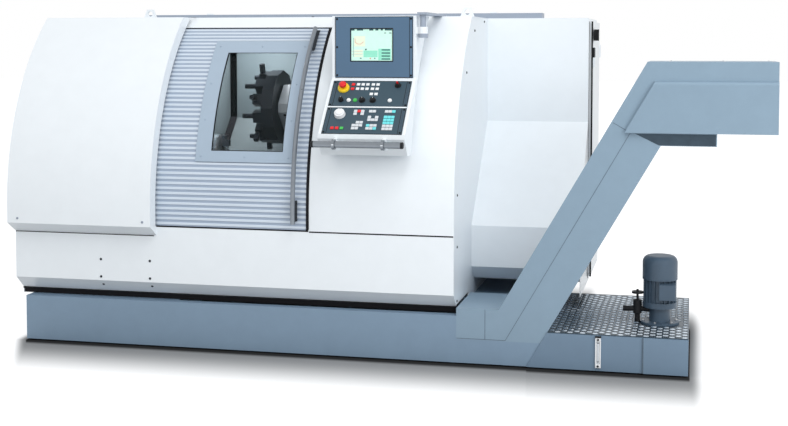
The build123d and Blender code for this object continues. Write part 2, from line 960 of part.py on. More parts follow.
def upper_hook(x):
    """Folded hem that stands in the upper rail."""
    rear = upper_hook_rear()
    low = door_top - hook_thick
    points = ((front_y(low, -sheet / 2), low), (rear, low), (rear, door_top + top_hook_rise),
              (rear - hook_thick, door_top + top_hook_rise), (rear - hook_thick, door_top),
              (front_y(door_top, -sheet / 2), door_top))
    return prism_x(points, x)


def make_door_rails():
    x = (enclosure_left + sheet, door_right + seal_width)
    low = door_bottom - hook_depth - slide_gap
    inner = (hook_reach - slide_gap, hook_reach + hook_thick + slide_gap)
    foot = low - rail_wall
    high = foot + rail_depth
    lower = ((sheet, foot), (inner[1] + rail_wall, foot), (inner[1] + rail_wall, high), (inner[1], high),
             (inner[1], low), (inner[0], low), (inner[0], high), (sheet, high))
    rear = upper_hook_rear()
    roof = machine_height - sheet
    inner = (rear - hook_thick - slide_gap, rear + slide_gap)
    tip = door_top + top_hook_rise + slide_gap
    skirt = tip - top_hook_rise / 2
    upper = ((inner[0] - rail_wall, roof), (inner[0] - rail_wall, skirt), (inner[0], skirt), (inner[0], tip),
             (inner[1], tip), (inner[1], skirt), (inner[1] + rail_wall, skirt), (inner[1] + rail_wall, roof))
    return prism_x(lower, x) + prism_x(upper, x)


def make_window_frame():
    z = (frame_low, frame_high)
    return curved_sheet((frame_left, frame_right), z, rib_height + frame_thick, rib_height) - window_cut()


def make_window_pane():
    x = (window_left - pane_lap, window_right + pane_lap)
    z = (window_low - pane_lap, window_high + pane_lap)
    return curved_sheet(x, z, -sheet, -sheet - pane_thick)


def make_door_seal():
    x = (door_right, door_right + seal_width)
    return curved_sheet(x, (door_bottom, door_top), seal_proud, -seal_depth)


def handle_tube(radius):
    """Straight and bent lengths of the long handle."""
    low = Plane.XY.offset(handle_low) * Pos(handle_x, -handle_stand) * Circle(radius)
    straight = extrude(low, arc_foot_z - handle_low)
    bend = asin((handle_high - arc_foot_z) / (front_radius + handle_stand))
    pivot = Axis((0, front_radius, arc_foot_z), (-1, 0, 0))
    start = Plane.XY.offset(arc_foot_z) * Pos(handle_x, -handle_stand) * Circle(radius)
    return straight + revolve(start, pivot, degrees(bend))


def make_handle_brackets():
    x = (handle_x - bracket_half, handle_x + bracket_half)
    blocks = []
    for low in (handle_low + handle_overhang, handle_high - handle_overhang - bracket_length):
        body = curved_sheet(x, (low, low + bracket_length), handle_stand, rib_height)
        blocks.append(body - handle_tube(handle_radius + run_fit))
    return Compound(children=blocks)


def make_electrical_cabinet():
    y = (wall_y + sheet, body_depth - sheet)
    z = (base_top, machine_height - sheet)
    body = block((cabinet_left, tail_right), (y[0], body_depth), z)
    edge = cabinet_door_edge
    body -= block((cabinet_left + sheet, tail_right + overrun), (y[0] + edge, y[1] - edge),
                  (z[0] + edge, z[1] - edge))
    for low in hinge_lows():
        pin = rod_z(hinge_center(), hinge_pin_radius, (low - hinge_length / 2, low + hinge_length / 2))
        knuckle = rod_z(hinge_center(), hinge_radius, (low - hinge_length / 2, low - slide_gap))
        leaf = block((tail_right - sheet, hinge_center()[0]), (body_depth, body_depth + sheet),
                     (low - hinge_length / 2, low - slide_gap))
        body += pin + knuckle + leaf
    return body


def hinge_center():
    """Upright axis of the cabinet door's hinges."""
    return (tail_right + cabinet_door_thick, hinge_y)


def hinge_lows():
    """Heights at which the two halves of each hinge meet."""
    return (cabinet_door_low + hinge_inset, cabinet_door_high - hinge_inset)


def make_cabinet_door():
    y = (wall_y + cabinet_door_edge, body_depth - slide_gap)
    x = (tail_right + slide_gap, tail_right + cabinet_door_thick)
    body = block(x, y, (cabinet_door_low, cabinet_door_high))
    for low in hinge_lows():
        top = low + hinge_length / 2
        knuckle = rod_z(hinge_center(), hinge_radius, (low, top))
        leaf = block((x[1] - sheet, x[1]), (y[1] - hinge_radius, hinge_center()[1]), (low, top))
        bore = rod_z(hinge_center(), hinge_pin_radius + run_fit, (low - overrun, top + overrun))
        body = body + knuckle + leaf - bore
    latch_z = cabinet_door_high - latch_drop
    latch = block((x[1], x[1] + latch_depth), (y[0] + latch_inset - latch_width, y[0] + latch_inset),
                  (latch_z - latch_height / 2, latch_z + latch_height / 2))
    stem = rod_x(switch_center(), switch_stem_radius + run_fit, (x[0] - overrun, x[1] + overrun))
    return body + latch - stem


def switch_center():
    """Depth and height of the main switch on the cabinet door."""
    return (wall_y + cabinet_door_edge + switch_inset, cabinet_door_high - switch_drop)


def make_main_switch():
    left = tail_right + cabinet_door_thick + slide_gap
    body = rod_x(switch_center(), switch_radius, (left, left + switch_thick))
    body += rod_x(switch_center(), switch_stem_radius, (left - cabinet_door_thick, left))
    y, z = switch_center()
    return body + block((left + switch_thick, left + switch_thick + switch_grip_depth),
                        (y - switch_grip / 2, y + switch_grip / 2), (z - switch_radius, z + switch_radius))


def riser_outer_x(z):
    """Length of the riser's upper edge at a height."""
    return base_end_x(z) - conveyor_riser_depth / sin(riser)


def conveyor_outline(inset):
    """Side outline of the conveyor housing, drawn in by a wall."""
    slant = inset / sin(riser)
    bend = inset * tan(riser / 2)
    floor = conveyor_step + inset
    chute = chute_low + inset
    low = conveyor_head_low + inset
    top = conveyor_head_top - inset
    lid = conveyor_box_top - inset
    right = conveyor_head_right - inset
    return ((conveyor_left, floor), (base_end_x(conveyor_step) - slant + bend / 2, floor),
            (base_end_x(chute) - slant, chute), (chute_right - inset, chute), (chute_right - inset, low),
            (right, low), (right, top), (riser_outer_x(top) + slant, top), (riser_outer_x(lid) + slant, lid),
            (conveyor_left, lid))


def make_conveyor_body():
    body = prism_y(conveyor_outline(0), (0, conveyor_width))
    body -= prism_y(conveyor_outline(conveyor_wall), (conveyor_wall, conveyor_width - conveyor_wall))
    body -= block((conveyor_left - overrun, conveyor_left + conveyor_wall), (trough_front, trough_rear),
                  (conveyor_step + conveyor_wall, conveyor_box_top - conveyor_wall))
    body -= block((mouth_left, mouth_right), (conveyor_wall, conveyor_width - conveyor_wall),
                  (conveyor_head_low - overrun, conveyor_head_low + conveyor_wall + overrun))
    return body + make_trough()


def make_trough():
    """Open trough that lies in the base and feeds the riser."""
    x = (trough_left, conveyor_left)
    y = (trough_front, trough_rear)
    body = block(x, y, (conveyor_step, base_top))
    return body - block((x[0] + trough_wall, x[1] + overrun), (y[0] + trough_wall, y[1] - trough_wall),
                        (conveyor_step + trough_wall, base_top + overrun))


def belt_path(depth):
    """Run of the conveyor belt at a depth above the trough's floor: along it, up the riser and over."""
    rest = trough_wall + depth
    low = conveyor_step + rest
    high = conveyor_head_low + rest
    offset = rest / sin(riser)
    foot = base_end_x(low) - offset
    head = base_end_x(high) - offset
    return ((trough_left + belt_margin, low), (foot, low), (head, high), (mouth_left - belt_margin, high))


def make_conveyor_belt():
    y = (trough_front + belt_margin, trough_rear - belt_margin)
    outer = prism_y(belt_path(0) + belt_path(belt_run)[::-1], y)
    low = belt_path(belt_plate)
    high = belt_path(belt_run - belt_plate)
    left = low[0][0] + belt_plate
    right = low[3][0] - belt_plate
    inner = ((left, low[0][1]), low[1], low[2], (right, low[3][1]), (right, high[3][1]), high[2], high[1],
             (left, high[0][1]))
    return outer - prism_y(inner, (y[0] - overrun, y[1] + overrun))


def make_conveyor_guard():
    left = riser_outer_x(guard_top) + guard_inset
    foot = riser_outer_x(conveyor_head_low) + guard_inset
    points = ((left, guard_top), (conveyor_head_right, guard_top), (conveyor_head_right, conveyor_head_low),
              (foot, conveyor_head_low))
    body = prism_y(points, (-guard_proud, 0))
    edge = body.edges().filter_by(Axis.X).group_by(Axis.Z)[-1].sort_by(Axis.Y)[0]
    return fillet(edge, guard_round)


def make_conveyor_gearmotor():
    x = (mouth_right - gear_box, mouth_right)
    middle = (conveyor_head_low + conveyor_head_top) / 2
    box = block(x, (conveyor_width, conveyor_width + gear_depth),
                (middle - gear_box / 2, middle + gear_box / 2))
    axis = (conveyor_width + gear_depth / 2, middle)
    return box + rod_x(axis, gear_motor_radius, (x[0] - gear_motor_length, x[0]))


def tank_outline(inset):
    """Side outline of the tank, with its left end parallel to the riser."""
    low = foot_height + inset
    slant = inset / sin(riser)
    return ((base_end_x(low) + slant, low), (tank_right - inset, low), (tank_right - inset, tank_top),
            (base_end_x(tank_top) + slant, tank_top))


def make_coolant_tank():
    body = prism_y(tank_outline(0), (tank_front, tank_rear))
    body += block((tank_block_left, tank_right), (tank_front - tank_block_proud, tank_front),
                  (foot_height, tank_top))
    inner = prism_y(tank_outline(tank_wall), (tank_front + tank_wall, tank_rear - tank_wall))
    feet = []
    for x in (gauge_x, tank_right - foot_inset):
        for y in (foot_inset, tank_rear - foot_inset):
            feet.append(rod_z((x, y), foot_radius, (0, foot_height)))
    return body - inner + feet


def make_tank_lid():
    left = base_end_x(tank_top + lid_thick)
    body = block((left, tank_right), (tank_front, tank_rear), (tank_top, tank_top + lid_thick))
    return body - rod_z((pump_x, pump_y), pump_neck_radius + slot_play,
                        (tank_top - overrun, tank_top + lid_thick + overrun))


def make_level_gauge():
    x = (gauge_x - gauge_half, gauge_x + gauge_half)
    front = tank_front - gauge_depth
    body = block(x, (front, tank_front), (gauge_low, gauge_high))
    body -= block((x[0] + plate, x[1] - plate), (front - overrun, front + plate),
                  (gauge_low + gauge_cap, gauge_high - gauge_cap))
    for z in (gauge_low + gauge_cap / 2, gauge_high - gauge_cap / 2):
        body += rod_y((gauge_x, z), gauge_bolt_radius, (front - gauge_bolt_height, front))
    return body


def make_pump_flange():
    low = tank_top + lid_thick
    outline = ((pump_shaft_radius + run_fit, low), (pump_flange_radius, low),
               (pump_flange_radius, low + pump_flange_thick), (pump_neck_radius, low + pump_flange_thick),
               (pump_neck_radius, pump_neck_top), (pump_shaft_radius + run_fit, pump_neck_top))
    return turned_z(outline, (pump_x, pump_y))


def make_pump_motor_body():
    hole = pump_shaft_radius + run_fit
    outline = ((hole, pump_neck_top), (pump_motor_flange_radius, pump_neck_top),
               (pump_motor_flange_radius, pump_flange_top), (pump_frame_radius, pump_flange_top),
               (pump_frame_radius, pump_motor_top), (hole, pump_motor_top))
    body = turned_z(outline, (0, 0))
    fin = block((pump_frame_radius - pump_fin_thick, pump_fin_radius),
                (-pump_fin_thick / 2, pump_fin_thick / 2), (pump_flange_top, pump_motor_top - cowl_lap))
    fins = [Rot(0, 0, turn * 360 / pump_fin_count) * fin for turn in range(pump_fin_count)]
    middle = (pump_flange_top + pump_motor_top) / 2
    box = block((0, box_width), (-pump_frame_radius - box_depth, -pump_frame_radius / 2),
                (middle - box_height / 2, middle + box_height / 2))
    keep = rod_z((0, 0), pump_frame_radius - pump_fin_thick, (pump_neck_top, pump_motor_top))
    return Pos(pump_x, pump_y, 0) * (body + fins + (box - keep))


def make_pump_fan_cowl():
    low = pump_motor_top - cowl_lap
    inner = cowl_radius - cowl_wall
    under = cowl_top - cowl_wall
    outline = ((pump_frame_radius, low), (cowl_radius, low), (cowl_radius, cowl_top - cowl_dome),
               (cowl_flat_radius, cowl_top), (0, cowl_top), (0, under), (cowl_flat_radius, under),
               (inner, under - cowl_dome), (inner, pump_motor_top), (pump_frame_radius, pump_motor_top))
    return turned_z(outline, (pump_x, pump_y))


def make_pump_rotor():
    fan_low = pump_motor_top + fan_thick
    top = impeller_low + impeller_thick
    outline = ((0, impeller_low), (impeller_radius, impeller_low), (impeller_radius, top),
               (pump_shaft_radius, top), (pump_shaft_radius, fan_low), (fan_radius, fan_low),
               (fan_radius, fan_low + fan_thick), (0, fan_low + fan_thick))
    return turned_z(outline, (pump_x, pump_y))


def make_pump_valve():
    low = tank_top + lid_thick
    center = (valve_x, pump_y)
    body = rod_z(center, valve_pipe_radius, (low, valve_body_low))
    body += turned_z(((0, valve_body_low), (valve_pipe_radius, valve_body_low),
                      (valve_body_radius, valve_body_low + plate),
                      (valve_body_radius, valve_body_high - plate), (valve_stem_radius, valve_body_high),
                      (valve_stem_radius, valve_stem_top), (0, valve_stem_top)), center)
    body += rod_x((pump_y, valve_pipe_z), valve_pipe_radius,
                  (valve_outlet_left, pump_x - pump_neck_radius / 2))
    return body - rod_z((pump_x, pump_y), pump_neck_radius, (low, pump_neck_top))


def wheel_ring(inner, outer):
    """Flat ring of the handwheel between two radii."""
    low, high = wheel_z - wheel_rim, wheel_z + wheel_rim
    return turned_z(((inner, low), (outer, low), (outer, high), (inner, high)), (0, 0))


def make_valve_handwheel():
    wheel = wheel_ring(valve_stem_radius + run_fit, wheel_hub)
    wheel += wheel_ring(wheel_radius - 2 * wheel_rim, wheel_radius)
    half = wheel_rim / 2
    spoke = block((wheel_hub - half, wheel_radius - wheel_rim), (-wheel_spoke / 2, wheel_spoke / 2),
                  (wheel_z - half, wheel_z + half))
    for turn in range(wheel_spokes):
        wheel += Rot(0, 0, turn * 360 / wheel_spokes) * spoke
    return Pos(valve_x, pump_y, 0) * wheel


def panel_plane(index):
    """Face of an operator panel, from its lower left corner; 0 is the key panel, 1 the switch panel."""
    start = index * (panel_height + panel_split)
    corner = (panel_left, panel_low_y + start * panel_up[0], panel_low_z + start * panel_up[1])
    return Plane(corner, x_dir=(1, 0, 0), z_dir=(0, -panel_up[1], panel_up[0]))


def on_panel(index, share):
    """Place on an operator panel given in shares of its width and height."""
    return panel_plane(index) * Pos(share[0] * panel_width, share[1] * panel_height, 0)


def stem_hole(index, share):
    """Hole for a control's stem, through the panel into the housing."""
    depth = stem_depth + plate + stop_travel
    length = depth + collar_height + overrun
    return on_panel(index, share) * Pos(0, 0, length / 2 - depth) * Cylinder(stem_radius + stem_fit, length)


def stem_holes():
    """Holes of every moving control."""
    places = ((1, stop_share), (1, mode_share), (0, override_share))
    return [stem_hole(*place) for place in places]


def make_console_housing():
    z = (console_low, console_top)
    slope_low = (panel_low_y + plate * panel_up[1], panel_low_z - plate * panel_up[0])
    slope_high = (panel_top_y + plate * panel_up[1], panel_top_z - plate * panel_up[0])
    back = screen_y + plate
    points = ((front_y(z[0], console_clear), z[0]), (chin_y, z[0]), (nose_y, nose_low_z),
              (nose_y, panel_low_z), slope_low, slope_high, (back, screen_low), (back, z[1]),
              (front_y(z[1], console_clear), z[1]))
    edges = [Line(start, end) for start, end in zip(points, points[1:])] + curve_edges(z, console_clear)
    body = extrude(Plane.YZ.offset(console_left) * make_face(edges), console_right - console_left)
    for x in (console_left + grab_lug_inset, console_right - grab_lug_inset - grab_lug_thick):
        body += grab_lug((x, x + grab_lug_thick))
    body += hinge_ear()
    return body - stem_holes()


def grab_lug(x):
    """Bracket that carries the grab tube in front of the console."""
    arm = prism_x(((chin_y, console_low + grab_lug_radius), (grab_y, grab_z - grab_lug_radius),
                   (grab_y, grab_z + grab_lug_radius), (nose_y + plate, nose_low_z + plate)), x)
    arm += rod_x((grab_y, grab_z), grab_lug_radius, x)
    return arm - rod_x((grab_y, grab_z), grab_radius + run_fit, (x[0] - overrun, x[1] + overrun))


def hinge_ear():
    """Ear that turns on the post."""
    z = (ear_low, ear_high)
    half = ear_radius / 2
    ear = rod_z((post_x, post_y), ear_radius, z)
    ear += block((console_right - overrun, post_x), (post_y - half, post_y + half), z)
    return ear - rod_z((post_x, post_y), post_radius + run_fit, (z[0] - overrun, z[1] + overrun))


def make_screen_panel():
    body = block((panel_left, panel_right), (screen_y, screen_y + plate), (screen_low, screen_high))
    return body - block((display_left, display_right), (screen_y - overrun, screen_y + overrun),
                        (display_low, display_high))


def make_display_screen():
    x = (display_left + slide_gap, display_right - slide_gap)
    z = (display_low + slide_gap, display_high - slide_gap)
    return block(x, (screen_y + display_recess, screen_y + plate), z)


def key_cap(index, share):
    """Raised key on a panel."""
    return on_panel(index, share) * Pos(0, 0, key_proud / 2) * Box(key_width, key_height, key_proud)


def make_operator_panels():
    panels = []
    middle = Pos(panel_width / 2, panel_height / 2, -plate / 2)
    for index in (0, 1):
        panels.append(panel_plane(index) * middle * Box(panel_width, panel_height, plate))
    keys = [(1, (column, row)) for column in key_columns_share for row in key_rows_share]
    keys += [(1, (column, lamp_row_share)) for column in lamp_columns_share]
    keys += [(1, place) for place in red_keys_share]
    keys += [(0, place) for place in pad_left_shares + pad_middle_shares]
    keys += [(0, (column, row)) for column in pad_right_columns_share for row in pad_right_rows_share]
    keys += [(0, (column, trio_row_share)) for column in trio_columns_share]
    for index, share in keys:
        panels[index] += key_cap(index, share)
    rounds = [(share, small_knob_radius, small_knob_height) for share in small_knobs_share]
    rounds += [(share, push_radius, push_proud) for share in push_buttons_share]
    rounds += [(stop_share, collar_radius, collar_height)]
    for share, radius, height in rounds:
        panels[1] += on_panel(1, share) * Pos(0, 0, height / 2) * Cylinder(radius, height)
    holes = stem_holes()
    return Compound(children=[panel - holes for panel in panels])


def turned_control(index, share, outline):
    """Turned control on a panel, from pairs of radius and height above the panel."""
    face = Plane.XZ * make_face(Polyline(*outline, close=True))
    return on_panel(index, share) * revolve(face, Axis.Z)


def make_e_stop_button():
    top = stop_lift + stop_cap
    outline = ((0, -stem_depth), (stem_radius, -stem_depth), (stem_radius, stop_lift),
               (stop_radius, stop_lift), (stop_radius, top - stop_cap / 2), (stop_radius / 2, top), (0, top))
    return turned_control(1, stop_share, outline)


def make_knob(index, share, radius, height):
    outline = ((0, -stem_depth), (stem_radius, -stem_depth), (stem_radius, slide_gap), (radius, slide_gap),
               (radius - height * knob_taper_share, height), (0, height))
    return turned_control(index, share, outline)


def make_console_handle():
    return rod_x((grab_y, grab_z), grab_radius, (grab_left, grab_right))


def make_console_post():
    top = machine_height + arm_thick
    post = rod_z((post_x, post_y), post_radius, (post_low + post_cap, top))
    cap = rod_z((post_x, post_y), ear_radius, (post_low, ear_low - slide_gap))
    arm = block((post_x - arm_width / 2, post_x + arm_width / 2), (post_y - arm_width / 2, arm_rear),
                (machine_height, top))
    return post + cap + arm


def make_parts():
    """Every piece of the machine by its name."""
    parts = {
        "base_tray": make_base_tray(), "levelling_feet": make_levelling_feet(), "bed": make_bed(),
        "headstock": make_headstock(), "spindle": make_spindle(), "spindle_pulley": make_spindle_pulley(),
        "chuck_body": make_chuck_body(), "main_motor": make_main_motor(),
        "motor_pulley": make_motor_pulley(), "drive_belt": make_drive_belt(), "carriage": make_carriage(),
        "cross_slide": make_cross_slide(), "turret_disc": make_turret_disc(),
        "turret_tools": make_turret_tools(), "front_skirt": make_front_skirt(),
        "headstock_cover": make_headstock_cover(), "right_front_panel": make_right_front_panel(),
        "roof_cover": make_roof_cover(), "roof_duct": make_roof_duct(), "lifting_lugs": make_lifting_lugs(),
        "left_end_panel": make_left_end_panel(), "right_end_panel": make_right_end_panel(),
        "rear_panel": make_rear_panel(), "chamber_liner": make_chamber_liner(),
        "tail_cover": make_tail_cover(), "electrical_cabinet": make_electrical_cabinet(),
        "cabinet_door": make_cabinet_door(),
        "main_switch": make_main_switch(), "door_panel": make_door_panel(), "door_rails": make_door_rails(),
        "door_window_frame": make_window_frame(), "door_window_pane": make_window_pane(),
        "door_seal": make_door_seal(), "door_handle": handle_tube(handle_radius),
        "door_handle_brackets": make_handle_brackets(), "conveyor_body": make_conveyor_body(),
        "conveyor_belt": make_conveyor_belt(), "conveyor_guard": make_conveyor_guard(),
        "conveyor_gearmotor": make_conveyor_gearmotor(), "coolant_tank": make_coolant_tank(),
        "tank_lid": make_tank_lid(), "level_gauge": make_level_gauge(), "pump_flange": make_pump_flange(),
        "pump_motor_body": make_pump_motor_body(), "pump_fan_cowl": make_pump_fan_cowl(),
        "pump_rotor": make_pump_rotor(), "pump_valve": make_pump_valve(),
        "valve_handwheel": make_valve_handwheel(), "console_housing": make_console_housing(),
        "screen_panel": make_screen_panel(), "display_screen": make_display_screen(),
        "operator_panels": make_operator_panels(), "console_handle": make_console_handle(),
        "console_post": make_console_post(), "e_stop_button": make_e_stop_button(),
        "override_knob": make_knob(0, override_share, override_radius, override_height),
        "mode_knob": make_knob(1, mode_share, mode_radius, mode_height),
    }
    for turn in range(jaw_count):
        parts[f"chuck_jaw_{turn + 1}"] = make_chuck_jaw(turn)
    return parts


os.makedirs("parts", exist_ok=True)
for name, shape in make_parts().items():
    export_step(Pos(-origin_x, -origin_y, 0) * shape, f"parts/{name}.step")
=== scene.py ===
import json
from functools import partial
from math import cos, pi, radians, sin, sqrt

import bmesh
import bpy
from mathutils import Matrix, Vector


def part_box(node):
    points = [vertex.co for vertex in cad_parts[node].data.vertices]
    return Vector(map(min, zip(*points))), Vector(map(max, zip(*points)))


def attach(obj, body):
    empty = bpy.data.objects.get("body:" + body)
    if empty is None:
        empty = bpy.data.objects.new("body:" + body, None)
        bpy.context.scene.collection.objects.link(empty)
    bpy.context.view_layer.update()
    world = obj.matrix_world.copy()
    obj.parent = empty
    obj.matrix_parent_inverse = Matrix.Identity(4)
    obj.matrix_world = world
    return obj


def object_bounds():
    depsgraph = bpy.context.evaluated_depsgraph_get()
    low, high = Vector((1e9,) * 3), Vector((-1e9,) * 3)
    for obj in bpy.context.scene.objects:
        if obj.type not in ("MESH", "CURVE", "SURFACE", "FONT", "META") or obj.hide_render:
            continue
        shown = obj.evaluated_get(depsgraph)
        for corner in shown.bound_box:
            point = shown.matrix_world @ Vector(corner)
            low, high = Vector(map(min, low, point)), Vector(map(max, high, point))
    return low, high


bl_info = {
    "name": "Turning Lathe Dress",
    "version": (1, 0, 0),
    "blender": (4, 5, 0),
    "location": "View3D > Sidebar > Lathe",
    "description": "Finishes, trim and stage for a slant-bed turning lathe",
    "category": "Object",
}

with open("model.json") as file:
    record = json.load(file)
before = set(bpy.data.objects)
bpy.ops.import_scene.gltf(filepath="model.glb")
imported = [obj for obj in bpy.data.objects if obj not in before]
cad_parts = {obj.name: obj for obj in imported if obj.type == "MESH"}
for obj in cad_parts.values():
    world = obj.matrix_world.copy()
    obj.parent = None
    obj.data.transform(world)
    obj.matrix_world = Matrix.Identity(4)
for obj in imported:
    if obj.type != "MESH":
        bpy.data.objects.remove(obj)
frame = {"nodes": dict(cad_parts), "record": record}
cad_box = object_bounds()

MM = 0.001
FRONT = Vector((0, -1, 0))
RIGHT = Vector((1, 0, 0))
REAR = Vector((0, 1, 0))
TOP = Vector((0, 0, 1))

# Faces of the machine, in millimetres from the front left corner of the base, on the floor
LEFT_FACE = -68
RIGHT_FACE = 2771
REAR_FACE = 1950
ROOF_FACE = 2063
SKIRT_END = 2768
CABINET_FRONT = 1253
CABINET_END = 3470
FRONT_RADIUS = 1500
ARC_FOOT = 849.95
RIB_FLOOR = 1.7

# Operator panels, in millimetres, with the slope that their faces rise along
PANEL_WIDTH = 483
PANEL_HEIGHT = 204.107
PANEL_SPLIT = 6
PANEL_LEFT = 2010
PANEL_LOW = (-163.328, 1363)
PANEL_UP = (0.6818, 0.7315)
PANEL_NORMAL = Vector((0, -PANEL_UP[1], PANEL_UP[0]))

SHARP_ANGLE = radians(40)
BEVEL_STEPS = 2
SCREW_STEPS = 12
SCREW_HEIGHT = 0.55
SCREW_OUTLINE = ((1, 0), (1, 0.35), (0.82, 0.85), (0.5, 1), (0.48, 0.4), (0, 0.35))
GLOSS_SPREAD = 0.07


# Places

def place(x, y, z):
    """Frame point of a place in millimetres from the front left corner of the base, on the floor."""
    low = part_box("base_tray")[0]
    return Vector((low.x + x * MM, low.y + y * MM, z * MM))


def front_depth(z, stand):
    """Depth of the enclosure's front curve at a height, standing proud of it by the given amount."""
    rise = max(z - ARC_FOOT, 0)
    return FRONT_RADIUS - sqrt((FRONT_RADIUS + stand) ** 2 - rise ** 2)


def front_place(x, z, stand):
    """Point on the front curve, and the direction that looks out of it there."""
    y = front_depth(z, stand)
    rise = max(z - ARC_FOOT, 0)
    return place(x, y, z), Vector((0, y - FRONT_RADIUS, rise)).normalized()


def panel_place(index, share):
    """Point on an operator panel, given by shares of its width and height; 1 is the upper panel."""
    across = PANEL_LEFT + share[0] * PANEL_WIDTH
    along = index * (PANEL_HEIGHT + PANEL_SPLIT) + share[1] * PANEL_HEIGHT
    return place(across, PANEL_LOW[0] + along * PANEL_UP[0], PANEL_LOW[1] + along * PANEL_UP[1])


def facing(point, normal, across=RIGHT):
    """Matrix whose Z looks along the normal and whose X lies as near as it can to the given direction."""
    z = Vector(normal).normalized()
    x = Vector(across) - z * z.dot(Vector(across))
    if x.length < 0.01:
        x = z.orthogonal()
    x.normalize()
    turn = Matrix((x, z.cross(x), z)).transposed().to_4x4()
    return Matrix.Translation(point) @ turn


def panel_face(index, share, up=0, out=0):
    """Matrix at a place of an operator panel or up and out from it, with Z out of the panel's face."""
    return facing(panel_place(index, share), PANEL_NORMAL) @ Matrix.Translation((0, up, out))


def middle_of(node):
    """Middle of the box round a CAD node."""
    low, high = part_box(node)
    return (low + high) / 2


# Finishes

class Nodes:
    """Shader of a material or world, and the means to add nodes to it."""

    def __init__(self, owner, shader="Principled BSDF"):
        owner.use_nodes = True
        self.tree = owner.node_tree
        self.shader = self.tree.nodes[shader]

    def fill(self, node, inputs):
        """Sets a node's inputs, each to a value or to a link from an output."""
        for key, value in inputs.items():
            if isinstance(value, bpy.types.NodeSocket):
                self.tree.links.new(value, node.inputs[key])
            else:
                node.inputs[key].default_value = value

    def add(self, kind, inputs, output, **settings):
        """Output of a new node."""
        node = self.tree.nodes.new("ShaderNode" + kind)
        for key, value in settings.items():
            setattr(node, key, value)
        self.fill(node, inputs)
        return node.outputs[output]

    def number(self, operation, *terms):
        """Result of a sum on numbers."""
        return self.add("Math", dict(enumerate(terms)), "Value", operation=operation)

    def vector(self, operation, *terms):
        """Result of a sum on vectors."""
        output = "Value" if operation == "LENGTH" else "Vector"
        return self.add("VectorMath", dict(enumerate(terms)), output, operation=operation)

    def where(self):
        """Place on the object."""
        return self.add("TexCoord", {}, "Object")

    def sides(self, vector):
        """Outputs X, Y and Z of a vector."""
        return self.add("SeparateXYZ", {"Vector": vector}, "X").node.outputs

    def ramp(self, position, stops):
        """Colour that runs through pairs of position and colour."""
        colour = self.add("ValToRGB", {"Fac": position}, "Color")
        marks = colour.node.color_ramp.elements
        for order, (at, value) in enumerate(stops):
            mark = marks[order] if order < len(marks) else marks.new(at)
            mark.position = at
            mark.color = (*value, 1)
        return colour


def coat(name, colour, roughness, metallic=0.0, mottle=0.04, grain=9.0, peel=(260.0, 0.03), stretch=(1, 1, 1),
         shine=0.5):
    """Painted, moulded or machined finish: a colour that wanders a little, uneven gloss and a fine relief."""
    material = bpy.data.materials.new(name)
    nodes = Nodes(material)
    spread = nodes.add("Mapping", {"Vector": nodes.where(), "Scale": stretch}, "Vector")
    clouds = nodes.add("TexNoise", {"Vector": spread, "Scale": grain, "Detail": 5.0, "Roughness": 0.6}, "Fac")
    dark = [channel * (1 - mottle) for channel in colour]
    light = [min(channel * (1 + mottle), 1) for channel in colour]
    gloss = {"Value": clouds, "To Min": max(roughness - GLOSS_SPREAD, 0.02),
             "To Max": min(roughness + GLOSS_SPREAD, 1)}
    relief = nodes.add("TexNoise", {"Vector": spread, "Scale": peel[0], "Detail": 2.0}, "Fac")
    nodes.fill(nodes.shader, {
        "Base Color": nodes.ramp(clouds, ((0.3, dark), (0.7, light))),
        "Metallic": metallic,
        "Roughness": nodes.add("MapRange", gloss, "Result"),
        "Specular IOR Level": shine,
        "Normal": nodes.add("Bump", {"Height": relief, "Strength": peel[1], "Distance": MM}, "Normal"),
    })
    return material


def clear_pane(name, colour, alpha):
    """Thin clear sheet with smears that dull its gloss here and there."""
    material = bpy.data.materials.new(name)
    nodes = Nodes(material)
    smears = nodes.add("TexNoise", {"Vector": nodes.where(), "Scale": 14.0, "Detail": 4.0}, "Fac")
    gloss = nodes.add("MapRange", {"Value": smears, "To Min": 0.03, "To Max": 0.14}, "Result")
    nodes.fill(nodes.shader, {"Base Color": (*colour, 1), "Alpha": alpha, "IOR": 1.5, "Roughness": gloss})
    return material


def ribbed_sheet(name, colour):
    """Ribbed sheet on the front curve, with shade painted into the valleys between its ribs."""
    material = coat(name, colour, 0.42, 0.15, mottle=0.03, stretch=(0.4, 6, 6))
    nodes = Nodes(material)
    paint = nodes.shader.inputs["Base Color"]
    sides = nodes.sides(nodes.vector("SUBTRACT", nodes.where(), place(0, FRONT_RADIUS, ARC_FOOT)))
    away = nodes.add("CombineXYZ", {"Y": sides["Y"], "Z": nodes.number("MAXIMUM", sides["Z"], 0)}, "Vector")
    # Painted shade: within RIB_FLOOR of the valley floors the colour turns to rib_shade
    valley = nodes.number("COMPARE", nodes.vector("LENGTH", away), FRONT_RADIUS * MM, RIB_FLOOR * MM)
    shade = (*bpy.context.scene.lathe_colours.rib_shade, 1)
    mixed = nodes.add("Mix", {0: valley, 6: paint.links[0].from_socket, 7: shade}, 2, data_type="RGBA")
    nodes.fill(nodes.shader, {"Base Color": mixed})
    return material


def lit_surface(name, colour, strength=0.1):
    """Screen surface that glows a little through its colour."""
    material = coat(name, colour, 0.25, mottle=0.03, grain=30.0, peel=(900.0, 0.01))
    nodes = Nodes(material)
    nodes.fill(nodes.shader, {"Emission Color": (*colour, 1), "Emission Strength": strength})
    return material


